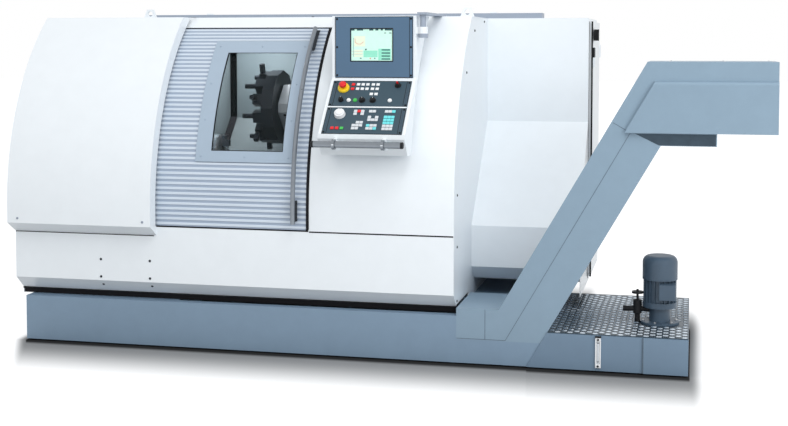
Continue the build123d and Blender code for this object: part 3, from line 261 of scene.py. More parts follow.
# Values of the finishes; those of the display are lit, and the rest are coats unless named below
FINISHES = {
    "white_paint": dict(roughness=0.34, mottle=0.012, peel=(420.0, 0.02)),
    "base_paint": dict(roughness=0.42, mottle=0.03, peel=(380.0, 0.05)),
    "tank_paint": dict(roughness=0.42, mottle=0.03, peel=(380.0, 0.05)),
    "conveyor_paint": dict(roughness=0.40, mottle=0.025, peel=(380.0, 0.04)),
    "frame_grey": dict(roughness=0.36, mottle=0.02, peel=(420.0, 0.02)),
    "motor_paint": dict(roughness=0.45, mottle=0.06, grain=22.0, peel=(500.0, 0.08)),
    "grey_sheet": dict(roughness=0.42, mottle=0.03),
    "turret_paint": dict(roughness=0.4, mottle=0.05),
    "chamber_steel": dict(roughness=0.38, metallic=0.25, mottle=0.08, grain=6.0),
    "slope_steel": dict(roughness=0.34, metallic=0.3, mottle=0.1, grain=12.0, stretch=(0.3, 4, 4)),
    "screen_blue": dict(roughness=0.4, mottle=0.02, peel=(900.0, 0.03)),
    "panel_teal": dict(roughness=0.5, mottle=0.03, peel=(1400.0, 0.05)),
    "steel": dict(roughness=0.28, metallic=0.95, mottle=0.08, grain=40.0, stretch=(0.2, 5, 5)),
    "handle_steel": dict(roughness=0.3, metallic=0.8, mottle=0.06, grain=30.0),
    "dark_handle": dict(roughness=0.3, metallic=0.8, mottle=0.06, grain=30.0),
    "dark_steel": dict(roughness=0.38, metallic=0.8, mottle=0.12, grain=30.0),
    "casting": dict(roughness=0.7, mottle=0.1, grain=24.0, peel=(300.0, 0.25)),
    "tread_plate": dict(roughness=0.36, metallic=0.6, mottle=0.12, grain=18.0),
    "lozenge_metal": dict(roughness=0.2, metallic=0.9, mottle=0.12, grain=11.0),
    "rubber": dict(roughness=0.7, mottle=0.15, grain=40.0, peel=(900.0, 0.15), shine=0.12),
    "black_plastic": dict(roughness=0.48, mottle=0.1, peel=(1600.0, 0.1), shine=0.2),
    "red_plastic": dict(roughness=0.28, peel=(900.0, 0.02)),
    "white_plastic": dict(roughness=0.34, mottle=0.03, peel=(900.0, 0.02)),
    "yellow_plastic": dict(roughness=0.35),
    "green_plastic": dict(roughness=0.35),
    "cyan_plastic": dict(roughness=0.4, mottle=0.03),
    "grey_plastic": dict(roughness=0.42, mottle=0.03),
    "seam_shadow": dict(roughness=0.8, mottle=0.2, grain=50.0),
    "window_glass": dict(alpha=0.08),
    "display_plot": dict(strength=0.05),
}
OTHER_MAKERS = {"ribbed_silver": ribbed_sheet, "window_glass": clear_pane}


def finish_for(name):
    """Finish of that name, made on its first use."""
    label = "finish_" + name
    if label not in bpy.data.materials:
        make = lit_surface if name.startswith("display") else OTHER_MAKERS.get(name, coat)
        make(label, getattr(bpy.context.scene.lathe_colours, name), **FINISHES.get(name, {}))
    return bpy.data.materials[label]


# CAD nodes of each group
GROUPS = {
    "casing": """base_tray levelling_feet front_skirt headstock_cover right_front_panel roof_cover roof_duct
              lifting_lugs left_end_panel right_end_panel rear_panel tail_cover electrical_cabinet
              cabinet_door main_switch bed headstock main_motor motor_pulley drive_belt
              spindle_pulley""".split(),
    "door": """door_panel door_rails door_window_frame door_window_pane door_seal door_handle_brackets
            door_handle""".split(),
    "chamber": """chamber_liner spindle carriage cross_slide turret_disc turret_tools chuck_body chuck_jaw_1
               chuck_jaw_2 chuck_jaw_3""".split(),
    "console": """console_housing screen_panel display_screen operator_panels console_post e_stop_button
               override_knob mode_knob console_handle""".split(),
    "conveyor": "conveyor_body conveyor_belt conveyor_guard conveyor_gearmotor".split(),
    "tank": """tank_lid level_gauge pump_flange pump_motor_body pump_fan_cowl pump_rotor pump_valve
            valve_handwheel coolant_tank""".split(),
}

# Nodes whose finish isn't the one that the record names
OWN_FINISHES = {
    # The tank takes a darker copy of the base paint as painted shade
    "door_handle": "handle_steel", "console_handle": "handle_steel", "coolant_tank": "tank_paint",
    "chuck_body": "steel", "chuck_jaw_1": "dark_handle", "chuck_jaw_2": "dark_handle",
    "chuck_jaw_3": "dark_handle",
}


def dress(group):
    """Gives the CAD nodes of a group their finishes."""
    slots = {part["node"]: part["material_slot"] for part in frame["record"]["subparts"]}
    for node in GROUPS[group]:
        materials = frame["nodes"][node].data.materials
        materials.clear()
        materials.append(finish_for(OWN_FINISHES.get(node, slots[node])))


# Mesh building

def add_object(name, shape):
    """Object in the scene from a finished bmesh."""
    mesh = bpy.data.meshes.new(name)
    shape.to_mesh(mesh)
    shape.free()
    thing = bpy.data.objects.new(name, mesh)
    bpy.context.scene.collection.objects.link(thing)
    return thing


def build(name, shape, finish, body="machine"):
    """Piece from a finished bmesh, with its finish, riding on a body."""
    bmesh.ops.recalc_face_normals(shape, faces=shape.faces)
    thing = add_object(name, shape)
    for face in thing.data.polygons:
        face.use_smooth = True
    thing.data.set_sharp_from_angle(angle=SHARP_ANGLE)
    thing.data.materials.append(finish_for(finish))
    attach(thing, body)


def single(name, finish, add, *values, body="machine"):
    """Piece of one form, made by one of the functions below."""
    shape = bmesh.new()
    add(shape, *values)
    build(name, shape, finish, body)


def add_box(shape, matrix, size, bevel=0.0):
    """Box resting on the matrix's own XY plane, with its edges rounded where a bevel is given."""
    made = bmesh.ops.create_cube(shape, size=1)["verts"]
    lift = Matrix.Translation((0, 0, size[2] / 2))
    bmesh.ops.transform(shape, matrix=matrix @ lift @ Matrix.Diagonal((*size, 1)), verts=made)
    if bevel:
        edges = list({edge for vert in made for edge in vert.link_edges})
        bmesh.ops.bevel(shape, geom=edges, offset=bevel, segments=BEVEL_STEPS, affect="EDGES", profile=0.5)


def add_turned(shape, matrix, outline, steps=24):
    """Turned form about the matrix's Z, from pairs of radius and height; a ring if its ends meet."""
    rings = []
    for radius, height in outline:
        if rings and (radius, height) == outline[0]:
            rings.append(rings[0])
            continue
        if radius == 0:
            rings.append([shape.verts.new(matrix @ Vector((0, 0, height)))])
            continue
        ring = []
        for step in range(steps):
            angle = 2 * pi * step / steps
            ring.append(shape.verts.new(matrix @ Vector((radius * cos(angle), radius * sin(angle), height))))
        rings.append(ring)
    for first, second in zip(rings, rings[1:]):
        for step in range(steps):
            after = (step + 1) % steps
            corners = [first[step % len(first)], first[after % len(first)],
                       second[after % len(second)], second[step % len(second)]]
            shape.faces.new(list(dict.fromkeys(corners)))


def screws(name, finish, radius, spots, body="machine"):
    """Piece of button-head screws with a socket, each standing at a point and looking in a direction."""
    shape = bmesh.new()
    outline = [(radius * wide, radius * SCREW_HEIGHT * high) for wide, high in SCREW_OUTLINE]
    for point, normal in spots:
        add_turned(shape, facing(point, normal), outline, SCREW_STEPS)
    build(name, shape, finish, body)


def add_sweep(shape, sections):
    """Closed skin through sections of as many points each, with both ends filled."""
    rows = [[shape.verts.new(point) for point in section] for section in sections]
    for first, second in zip(rows, rows[1:]):
        for index in range(len(first)):
            after = (index + 1) % len(first)
            shape.faces.new((first[index], first[after], second[after], second[index]))
    shape.faces.new(rows[0])
    shape.faces.new(rows[-1][::-1])


def add_front_strip(shape, x, z, low, high, steps=24):
    """Strip on the front curve between two lengths, two heights and two stands."""
    sections = []
    for step in range(steps + 1):
        height = z[0] + (z[1] - z[0]) * step / steps
        sections.append([front_place(side, height, stand)[0]
                         for side, stand in ((x[0], low), (x[1], low), (x[1], high), (x[0], high))])
    add_sweep(shape, sections)


def add_line(shape, start, end, width, high, normal):
    """Flat bar along a line on a surface."""
    along = Vector(end) - Vector(start)
    middle = (Vector(start) + Vector(end)) / 2
    add_box(shape, facing(middle, normal, along), (along.length, width, high))


# Casing

SKIRT_COLUMNS = (520, 850)
RIGHT_SCREWS = ((1093, 2037), (715, 1974), (421, 1713), (107, 989), (107, 679), (105, 355))
LEFT_SCREWS = ((60, 560), (60, 900), (600, 2000), (1100, 2000), (1890, 2000), (1890, 1250), (1890, 560))
LEFT_SCREW_FOOT = -66.4
FOLD_NORMAL = (0, -80, -90)
COVER_STAND = 97

# Start, end, width and height in millimetres, and the direction that each gasket or painted shadow strip
# looks in
GASKETS = (
    ((897, 4, 760), (1880, 4, 760), 9, 3, FRONT),
    ((1884, 1, 755), (SKIRT_END, 1, 755), 8, 2, FRONT),
    # The next four rows are dark strips painted as shadow: under the headstock cover's bevel, under the
    # skirt, behind the gap above the base, and on the left end's sill
    ((-66, 0, 699), (880, 0, 699), 5, 1.5, FRONT),
    ((LEFT_FACE, 88, 322), (SKIRT_END, 88, 322), 10, 3, FRONT),
    ((-64, 98, 308), (2766, 98, 308), 37, 2, FRONT),
    ((-31, 96, 289.2), (-31, 1944, 289.2), 66, 2, TOP),
    ((3450, 1262, 330), (3450, 1262, 2040), 17, 1, RIGHT),
    ((3472, CABINET_FRONT, 330), (3472, CABINET_FRONT, 2040), 11, 1, FRONT),
    ((920, 540, ROOF_FACE), (920, 1285, ROOF_FACE), 4, 1, TOP),
    ((1900, 540, ROOF_FACE), (1900, 1285, ROOF_FACE), 4, 1, TOP),
)

PLATE_HEIGHT = 2 * MM
LOUVRE_SIZE = (0.26, 0.026, 0.006)
SWITCH_PLATE_SIZE = (0.098, 0.098, 0.0004)
LATCH_COVER_SIZE = (0.034, 0.068, 0.0183)


def casing_screws(radius):
    """Screws that hold the covers, where the photograph shows them and along the far edges."""
    spots = [(place(x, 0, z), FRONT) for x in SKIRT_COLUMNS for z in (540, 430)]
    spots += [(place(x, 34, 375.8), FOLD_NORMAL) for x in SKIRT_COLUMNS]
    spots += [(place(RIGHT_FACE, y, z), RIGHT) for y, z in RIGHT_SCREWS]
    spots += [(place(LEFT_SCREW_FOOT, y, z), -RIGHT) for y, z in LEFT_SCREWS]
    spots += [(place(x, REAR_FACE, z), REAR) for x in (0, 760, 1520, 2240) for z in (330, 1180, 2020)]
    screws("casing_screws", "dark_steel", radius, spots)
    screws("cover_screws", "grey_sheet", radius, [front_place(x, 795, COVER_STAND) for x in (0, 845)])


def casing_seams():
    """Dark gaskets between the covers, and dark strips painted as the shadow in the gaps between them."""
    shape = bmesh.new()
    for start, end, width, high, out in GASKETS:
        add_line(shape, place(*start), place(*end), width * MM, high * MM, out)
    add_front_strip(shape, (1880, 1883), (770, 2060), -2, 1)
    build("casing_gaskets", shape, "rubber")


def roof_trim():
    """Folded edge along the roof and its joint tick."""
    depth = front_depth(ROOF_FACE, 0) + 20
    for name, left, right, width, high, finish in (("roof_edge_strip", -60, 1985, 14, 2.5, "grey_sheet"),
                                                   ("roof_joint", 1716, 1730, 16, 4, "rubber")):
        start, end = (place(x, depth, ROOF_FACE) for x in (left, right))
        single(name, finish, add_line, start, end, width * MM, high * MM, TOP)


def access_plate(shape, slots, corner, across, size):
    """Raised service plate with two columns of vent slots, dark strips painted as the shade inside the slots.
    """
    normal = across.cross(TOP)
    face = facing(corner + (across * size[0] + TOP * size[1]) / 2, normal, across)
    add_box(shape, face, (*size, PLATE_HEIGHT), 0.8 * MM)
    for column in (-0.22, 0.22):
        for row in range(-3, 4):
            spot = face @ Vector((column * size[0], row * 0.05 * size[1], PLATE_HEIGHT))
            # Painted shade: each slot is a dark strip in place of an opening
            add_box(slots, facing(spot, normal, across), (0.3 * size[0], 0.018 * size[1], 0.4 * MM))


def service_plates():
    """Service plates on the left end and the rear."""
    shape = bmesh.new()
    slots = bmesh.new()
    access_plate(shape, slots, place(LEFT_FACE, 850, 900), -REAR, (0.6, 0.55))
    access_plate(shape, slots, place(850, REAR_FACE, 420), -RIGHT, (0.62, 0.5))
    access_plate(shape, slots, place(2200, REAR_FACE, 1250), -RIGHT, (0.62, 0.6))
    build("service_plates", shape, "white_paint")
    build("service_vents", slots, "seam_shadow")


def cabinet_trim():
    """Cooling louvres at the rear, the switch's plate and the cover over the latch."""
    shape = bmesh.new()
    for row in range(9):
        for x in (2560, 2880, 3200):
            add_box(shape, facing(place(x, 1946, 1450 + 50 * row), (0, 1, 0.5)), LOUVRE_SIZE, 0.002)
    build("cabinet_louvres", shape, "white_paint")
    switch = middle_of("main_switch")
    switch.x = place(CABINET_END, 0, 0).x
    plate = facing(switch, RIGHT, REAR)
    single("switch_plate", "grey_plastic", add_box, plate, SWITCH_PLATE_SIZE, body="end_door")
    latch = facing(place(CABINET_END, 1316, 1832), RIGHT, REAR)
    single("latch_cover", "black_plastic", add_box, latch, LATCH_COVER_SIZE, 0.004, body="end_door")


# Door

FRAME_STAND = 10
FRAME_SCREWS = [(x, z) for x in (1182, 1463, 1744) for z in (1198, 1872)]
FRAME_SCREWS += [(x, z) for z in (1420, 1640) for x in (1182, 1744)]
SMALL_SCREW = 0.7
BEAD_STANDS = (-2, 9)


def door_trim(radius):
    """Glazing bead round the pane and screws in the window frame."""
    bead = bmesh.new()
    for x in ((1246, 1250), (1704, 1708)):
        add_front_strip(bead, x, (1233, 1834), *BEAD_STANDS)
    for z in ((1233, 1237), (1830, 1834)):
        add_front_strip(bead, (1250, 1704), z, *BEAD_STANDS, 2)
    build("window_bead", bead, "rubber", "sliding_door")
    spots = [front_place(x, z, FRAME_STAND) for x, z in FRAME_SCREWS]
    screws("window_frame_screws", "frame_grey", radius * SMALL_SCREW, spots, "sliding_door")


# Working chamber

SLOPE_UP = Vector((0, -1, 1)).normalized()
SLOPE_DOWN = Vector((0, -1, -1)).normalized()
WALL_CORNERS = ((1225, 1362), (1225, 2020), (700, 2020), (300, 1560), (300, 1330), (640, 1330), (660, 1000),
                (860, 1000))
LIP_LINE = ((560, 660), (620, 750), (1238, 1368), (1238, 1990))
LIP_SECTION = ((0, 0), (50, 0), (50, 8), (0, 8))
TURRET_CAP = ((0.13, 0), (0.13, 0.004), (0.122, 0.01), (0.07, 0.012), (0.062, 0.022), (0.02, 0.026),
              (0, 0.026))
TURRET_STATIONS = 12
TURRET_SCREWS = ((0.105, 0.008), (0.148, 0))
TURRET_SCREW_RADIUS = 0.007
HOUSING_SCREW_RADIUS = 0.009


def chamber_sheets():
    """Way cover on the slope, and a pale sheet painted as the light on the headstock's wall."""
    middle = (place(1833, 645, 765) + place(1833, 1248, 1368)) / 2 + SLOPE_UP * 0.0004
    single("way_cover", "slope_steel", add_box, facing(middle, SLOPE_UP), (1.714, 0.852, 0.0006))
    # Painted light: a white sheet where the wall is lit
    faces = [[place(x, y, z) for y, z in WALL_CORNERS] for x in (925.2, 925.8)]
    single("headstock_wall_sheet", "white_paint", add_sweep, faces)


def chamber_lip():
    """Wide rubber lip in the corner between the headstock wall and the slope."""
    sections = []
    for y, z in LIP_LINE:
        corner = place(928, y, z)
        sections.append([corner + Vector((across * MM, 0, up * MM)) for across, up in LIP_SECTION])
    single("chamber_lip", "rubber", add_sweep, sections)


def turret_trim():
    """Cap and clamp screws on the turret's face, and screws on the side of its housing."""
    middle = middle_of("turret_disc")
    middle.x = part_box("turret_disc")[0].x
    face = facing(middle, -RIGHT, TOP)
    single("turret_cap", "turret_paint", add_turned, face, TURRET_CAP, 48, body="turret")
    spots = []
    for step in range(TURRET_STATIONS):
        angle = 2 * pi * (step + 0.5) / TURRET_STATIONS
        for reach, high in TURRET_SCREWS:
            spots.append((face @ Vector((reach * cos(angle), reach * sin(angle), high)), -RIGHT))
    screws("turret_screws", "steel", TURRET_SCREW_RADIUS, spots, "turret")
    spots = []
    for x in (1520, 1640, 1760):
        for rise in (-60, 0, 60):
            point = place(x, 790, 1470) + SLOPE_UP * rise * MM + SLOPE_DOWN * 125.2 * MM
            spots.append((point, SLOPE_DOWN))
    screws("housing_screws", "dark_steel", HOUSING_SCREW_RADIUS, spots, "x_slide")


# Console

# Panel and place of each key, by its finish
KEY_GROUPS = {
    "white_plastic": [(1, (column, row)) for column in (0.33, 0.39, 0.45, 0.52, 0.58) for row in (0.85, 0.68)]
    + [(1, (0.52, 0.48)), (1, (0.58, 0.48))],
    "red_plastic": [(1, (0.265, 0.85)), (1, (0.265, 0.68)), (0, (0.12, 0.21)), (0, (0.18, 0.21)),
                    (0, (0.415, 0.85))],
    "green_plastic": [(0, (0.24, 0.21))],
    "grey_plastic": [(0, (column, row)) for column, rows in (
        (0.37, (0.85, 0.75)), (0.38, (0.32, 0.21)), (0.425, (0.43, 0.32, 0.21)), (0.46, (0.85, 0.75)),
        (0.47, (0.43, 0.32)), (0.56, (0.85, 0.63, 0.53, 0.21)), (0.605, (0.85, 0.53, 0.32, 0.21)),
        (0.65, (0.63, 0.53, 0.32)), (0.76, (0.85, 0.31, 0.20)), (0.805, (0.85, 0.31, 0.20)),
        (0.85, (0.31, 0.20))) for row in rows],
    "cyan_plastic": [(0, (0.56, 0.32)), (0, (0.65, 0.21)), (0, (0.85, 0.85))]
    + [(0, (column, row)) for column in (0.76, 0.805, 0.85) for row in (0.64, 0.53, 0.42)],
}
KEY_SIZE = (20.6 * MM, 19 * MM, 4.6 * MM)

PUSH_BUTTONS = (((0.25, 0.24), "white_plastic"), ((0.33, 0.24), "green_plastic"),
                ((0.77, 0.24), "white_plastic"))
KEY_SWITCH = (0.835, 0.82)
SMALL_KNOBS = ((0.42, 0.24), (0.555, 0.24), KEY_SWITCH)
STOP_SPOT = (0.15, 0.70)
MODE_SPOT = (0.15, 0.24)
OVERRIDE_SPOT = (0.18, 0.72)

# Outlines of turned pieces, as pairs of radius and height
PUSH_CAP = ((0.013, 0), (0.013, 0.003), (0.0105, 0.004), (0.0105, 0.0082), (0.009, 0.0088), (0, 0.0088))
KNOB_CAP = ((0.02, 0), (0.02, 0.002), (0.0155, 0.003), (0.0145, 0.0165), (0, 0.0166))
STOP_COLLAR = ((0.0092, 0), (0.036, 0), (0.036, 0.004), (0.0335, 0.013), (0.031, 0.0152), (0.018, 0.0152),
               (0.0092, 0.0145), (0.0092, 0))
OVERRIDE_GRIP = ((0.0215, 0.0223), (0.0215, 0.024), (0.0195, 0.028), (0.017, 0.029), (0.012, 0.0285),
                 (0, 0.0285))
GRAB_CAP = ((0.0198, 0), (0.0198, 0.0135), (0.016, 0.0165), (0, 0.0165))
GRAB_CLAMP = ((0.0198, 0), (0.0302, 0), (0.0302, 0.016), (0.0198, 0.016), (0.0198, 0))

# Width and height of the bars on the panels
SCREEN_RIM = (0.0032, 0.0006)
GLASS_RIM = (0.006, 0.001)
PANEL_RIM = (0.0026, 0.0006)
PANEL_RAIL = (0.0022, 0.0012)


def key_caps():
    """Coloured caps over the keys of both operator panels."""
    for finish, keys in KEY_GROUPS.items():
        shape = bmesh.new()
        for index, share in keys:
            add_box(shape, panel_face(index, share), KEY_SIZE, 1.4 * MM)
        build("key_caps_" + finish.split("_")[0], shape, finish, "console")


def round_controls():
    """Caps on the push buttons and small knobs, and the key in its switch."""
    for share, finish in PUSH_BUTTONS:
        name = "push_cap_%03d" % round(share[0] * 1000)
        single(name, finish, add_turned, panel_face(1, share), PUSH_CAP, 28, body="console")
    knobs = bmesh.new()
    marks = bmesh.new()
    for share in SMALL_KNOBS:
        add_turned(knobs, panel_face(1, share), KNOB_CAP, 28)
        add_box(knobs, panel_face(1, share, 0, 0.0164), (0.006, 0.023, 0.003), 0.001)
        add_box(marks, panel_face(1, share, 0.0075, 0.0193), (0.0016, 0.008, 0.0003))
    build("small_knob_caps", knobs, "black_plastic", "console")
    key = panel_face(1, KEY_SWITCH, 0, 0.0194)
    single("switch_key", "red_plastic", add_box, key, (0.012, 0.003, 0.02), 0.001, body="console")
    build("small_knob_marks", marks, "white_plastic", "console")


def screen_face(node, share):
    """Matrix on the front of the screen panel, at shares of the width and height of a node's box."""
    low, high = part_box(node)
    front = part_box("screen_panel")[0].y
    return facing((low.x + (high.x - low.x) * share[0], front, low.z + (high.z - low.z) * share[1]), FRONT)


def add_grid(shape, face, columns, rows, bar, size):
    """Upright and level bars at shares of a face; bar is their width and height, size their lengths."""
    for share in columns:
        add_box(shape, face((share, 0.5)), (bar[0], size[1], bar[1]))
    for share in rows:
        add_box(shape, face((0.5, share)), (size[0], *bar))


def panel_edges():
    """Dark rims and end grooves of the panels, and the white bar between the operator panels."""
    rims = bmesh.new()
    low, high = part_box("screen_panel")
    face = partial(screen_face, "screen_panel")
    size = (high.x - low.x - 0.002, high.z - low.z - 0.002)
    add_grid(rims, face, (0.004, 0.958, 0.996), (0.005, 0.995), SCREEN_RIM, size)
    low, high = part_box("display_screen")
    wide, tall = high.x - low.x, high.z - low.z
    x, z = GLASS_RIM[0] / 2 / wide, GLASS_RIM[0] / 2 / tall
    size = (wide, tall + 2 * GLASS_RIM[0])
    add_grid(rims, partial(screen_face, "display_screen"), (-x, 1 + x), (-z, 1 + z), GLASS_RIM, size)
    rails = bmesh.new()
    for index in (0, 1):
        face = partial(panel_face, index)
        size = ((PANEL_WIDTH - 2) * MM, (PANEL_HEIGHT - 3) * MM)
        add_grid(rims, face, (0.004, 0.055, 0.945, 0.996), (0.008, 0.992), PANEL_RIM, size)
        size = ((PANEL_WIDTH - 60) * MM, (PANEL_HEIGHT - 40) * MM)
        add_grid(rails, face, (0.022, 0.043, 0.957, 0.978), (0.05,), PANEL_RAIL, size)
    build("panel_rims", rims, "black_plastic", "console")
    build("panel_rails", rails, "motor_paint", "console")
    gap = (PANEL_HEIGHT + PANEL_SPLIT / 2) / PANEL_HEIGHT
    size = (PANEL_WIDTH * MM, 0.009, 0.0008)
    single("panel_bar", "white_paint", add_box, panel_face(0, (0.5, gap)), size, body="console")


def stop_collar():
    """Yellow base under the emergency stop."""
    face = panel_face(1, STOP_SPOT)
    single("stop_collar", "yellow_plastic", add_turned, face, STOP_COLLAR, 44, body="console")


def knob_details():
    """Grip on the override wheel and the pointers of the knobs."""
    wheel = panel_face(0, OVERRIDE_SPOT)
    single("override_grip", "white_plastic", add_turned, wheel, OVERRIDE_GRIP, 36, body="override")
    for name, body, finish, face, size, bevel in (
            ("override_mark", "override", "black_plastic", panel_face(0, OVERRIDE_SPOT, 0.0285, 0.0223),
             (0.003, 0.008, 0.0004), 0),
            ("mode_grip", "mode", "black_plastic", panel_face(1, MODE_SPOT, 0, 0.0203),
             (0.007, 0.024, 0.004), 0.0015),
            ("mode_mark", "mode", "white_plastic", panel_face(1, MODE_SPOT, 0.008, 0.0243),
             (0.0018, 0.008, 0.0003), 0)):
        single(name, finish, add_box, face, size, bevel, body=body)


# Blocks of the display's picture, by their finish, as shares of its width and height
SCREEN_BLOCKS = {
    "display_dark": [(0.74, base, 0.945, base + 0.036) for base in (0.037, 0.13, 0.225, 0.323)]
    + [(x0, 0.955, x1, 1) for x0, x1 in (
        (0, 0.08), (0.14, 0.29), (0.44, 0.54), (0.59, 0.66), (0.72, 0.77), (0.82, 0.99))]
    + [(0.80, 0.865, 0.85, 0.885), (0.92, 0.865, 0.98, 0.885), (0.21, 0.065, 0.25, 0.09),
       (0.56, 0.065, 0.59, 0.09), (0.34, 0.33, 0.375, 0.38), (0.053, 0.12, 0.058, 0.72)],
    "display_line": [(0.02, 0.285, 0.28, 0.291), (0.02, 0.2, 0.28, 0.206), (0.45, 0.05, 0.48, 0.09)],
    "display_cyan": [(0.30, 0.11, 0.64, 0.32), (0.66, 0.02, 0.96, 0.38)],
    "display_plot": [(0.07, base, 0.28, base + 0.05) for base in (0.12, 0.21, 0.298)]
    + [(0.07, 0.45, 0.34, 0.78)],
}
SCREEN_LIFT = 0.0012
SCREEN_STEP = 0.0003
CURVE_WIDTH = 0.0022
SCREEN_CURVE = ((0.09, 0.70), (0.10, 0.58), (0.15, 0.53), (0.23, 0.525), (0.30, 0.60))


def screen_image():
    """Generic picture on the display: headings, a plot with its curve, value fields and bars."""
    low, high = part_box("display_screen")
    width, height = high.x - low.x, high.z - low.z
    curve = [Vector((low.x + width * x, low.y, low.z + height * z)) for x, z in SCREEN_CURVE]
    for order, (finish, blocks) in enumerate(SCREEN_BLOCKS.items()):
        shape = bmesh.new()
        lift = SCREEN_LIFT - SCREEN_STEP * order
        for x0, z0, x1, z1 in blocks:
            middle = Vector((low.x + width * (x0 + x1) / 2, low.y, low.z + height * (z0 + z1) / 2))
            add_box(shape, facing(middle, FRONT), (width * (x1 - x0), height * (z1 - z0), lift))
        if finish == "display_line":
            for start, end in zip(curve, curve[1:]):
                add_line(shape, start, end, CURVE_WIDTH, lift, FRONT)
        build("screen_" + finish.split("_")[1], shape, finish, "console")


def console_screws(radius):
    """Panel screws, and the dark caps and the clamps of the grab tube."""
    low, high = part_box("screen_panel")
    spots = [((x, low.y, z), FRONT) for x in (low.x + 0.012, high.x - 0.012)
             for z in (low.z + 0.014, (low.z + high.z) / 2, high.z - 0.014)]
    spots += [(panel_place(index, (x, z)), PANEL_NORMAL)
              for index in (0, 1) for z in (0.07, 0.93) for x in (0.025, 0.975)]
    screws("console_screws", "black_plastic", radius, spots, "console")
    caps = bmesh.new()
    tube_low, tube_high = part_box("console_handle")
    middle = middle_of("console_handle")
    for x, out in ((tube_low.x, -1), (tube_high.x, 1)):
        face = facing((x - out * 0.012, middle.y, middle.z), RIGHT * out)
        add_turned(caps, face, GRAB_CAP, 32)
    build("grab_caps", caps, "black_plastic", "console")
    clamps = bmesh.new()
    for x in (2097, 2390):
        middle.x = place(x, 0, 0).x
        add_turned(clamps, facing(middle, RIGHT), GRAB_CLAMP, 40)
    for vert in clamps.verts:
        vert.co.y = max(vert.co.y, cad_box[0][1])
    build("grab_clamps", clamps, "handle_steel", "console")


# Chip conveyor

CONVEYOR_SEAMS = (((2788, 156), (3078, 156)), ((3078, 156), (3786, 1384)), ((2958, 156), (2958, 334)),
                  ((3688, 1441), (3778, 1389)))
CHUTE_SHADOW_CORNERS = ((3812, 1380), (4258, 1380), (4258, 1315), (3946, 1315))
CONVEYOR_TOP = 1787


def conveyor_trim(radius):
    """Painted shadow lines along the folded seams, a dark sheet painted as the guard's shadow on the chute
    and riser, and screws on the housing.
    """
    seams = bmesh.new()
    for (x0, z0), (x1, z1) in CONVEYOR_SEAMS:
        add_line(seams, place(x0, 0, z0), place(x1, 0, z1), 3.2 * MM, 0.6 * MM, FRONT)
    build("conveyor_seams", seams, "seam_shadow")
    # Painted shadow: a dark sheet where the guard shades the riser and the chute
    faces = [[place(x, y, z) for x, z in CHUTE_SHADOW_CORNERS] for y in (0, -0.8)]
    single("chute_face", "tread_plate", add_sweep, faces)
    spots = [(place(x, y, CONVEYOR_TOP), TOP) for x in (4000, 4300, 4560) for y in (30, 470)]
    screws("conveyor_screws", "steel", radius * SMALL_SCREW, spots)


# Coolant tank and pump

BAR_HEIGHT = 0.0016
BAR_TOP = (0.8, 0.6)
BAR_SPACING = 0.31
CELL_MIDDLE = 0.55
GAUGE_NUT = ((0.0072, 0), (0.0072, 0.002), (0, 0.002))
GAUGE_TUBE = ((0, 0), (0.0065, 0), (0.0065, 0.129), (0, 0.129))
PUMP_BOLT = ((0.008, 0), (0.008, 0.007), (0.007, 0.008), (0, 0.008))
PUMP_BOLTS = 6
BOLT_CIRCLE = 0.099
COWL_RADIUS = 0.103
COWL_FLAT = 0.066
COWL_RISE = 0.042
COWL_WALL = 0.002
COWL_STEPS = 10


def tread_bars(length, width, cell):
    """Raised bars of the tread plate, in threes, by turns along the plate and across it; those along it are
    painted bright as glint, those across it dark.
    """
    low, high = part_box("tank_lid")
    pump_low, pump_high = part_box("pump_flange")
    keep_off = (pump_high.x - pump_low.x) / 2 + cell / 2
    pump = middle_of("pump_flange").xy
    along = bmesh.new()
    across = bmesh.new()
    for column in range(int((high.x - low.x) / cell)):
        for row in range(int((high.y - low.y) / cell)):
            x, y = high.x - cell * (column + CELL_MIDDLE), low.y + cell * (row + CELL_MIDDLE)
            point = Vector((x, y, high.z))
            if (point.xy - pump).length < keep_off:
                continue
            # Painted glint: bars along the plate take the bright lozenge metal, bars across it the dark tread
            # plate finish
            turned = (column + row) % 2
            for step in (-1, 0, 1):
                offset = Matrix.Translation((0, step * cell * BAR_SPACING, 0))
                matrix = Matrix.Translation(point) @ Matrix.Rotation(turned * pi / 2, 4, "Z") @ offset
                add_lozenge(across if turned else along, matrix, length, width)
    build("tread_bars_along", along, "lozenge_metal")
    build("tread_bars_across", across, "tread_plate")


def add_lozenge(shape, matrix, length, width):
    """Pointed bar with sloping sides."""
    foot = ((-length / 2, 0), (-length / 6, -width / 2), (length / 6, -width / 2), (length / 2, 0),
            (length / 6, width / 2), (-length / 6, width / 2))
    add_sweep(shape, [[matrix @ Vector((x, y, 0)) for x, y in foot],
                      [matrix @ Vector((x * BAR_TOP[0], y * BAR_TOP[1], BAR_HEIGHT)) for x, y in foot]])


def tank_trim():
    """Dark line at the step on the tank's front, a seam with painted shade, and the gauge's caps, tube and
    marks.
    """
    # Painted shade: a dark line down the step in the tank's front, over the seam there
    start, end = (place(3870, -18, z) for z in (12, 214))
    single("tank_seam", "seam_shadow", add_line, start, end, 6 * MM, 0.5 * MM, FRONT)
    low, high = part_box("level_gauge")
    x, y, _ = middle_of("level_gauge")
    caps = bmesh.new()
    add_box(caps, facing((x, y, high.z), TOP), (0.034, 0.0176, 0.008), 0.001)
    for z in (low.z + 0.011, high.z - 0.011):
        add_turned(caps, facing((x, low.y + 0.002, z), FRONT), GAUGE_NUT, 6)
    build("gauge_caps", caps, "black_plastic")
    foot = facing((x, low.y + 0.011, low.z + 0.023), TOP)
    single("gauge_tube", "grey_plastic", add_turned, foot, GAUGE_TUBE, 20)
    marks = bmesh.new()
    for rise in (0.036, 0.145):
        face = facing((x, low.y + 0.0045, low.z + rise), FRONT)
        add_box(marks, face, (0.012, 0.004, 0.0004))
    build("gauge_marks", marks, "black_plastic")


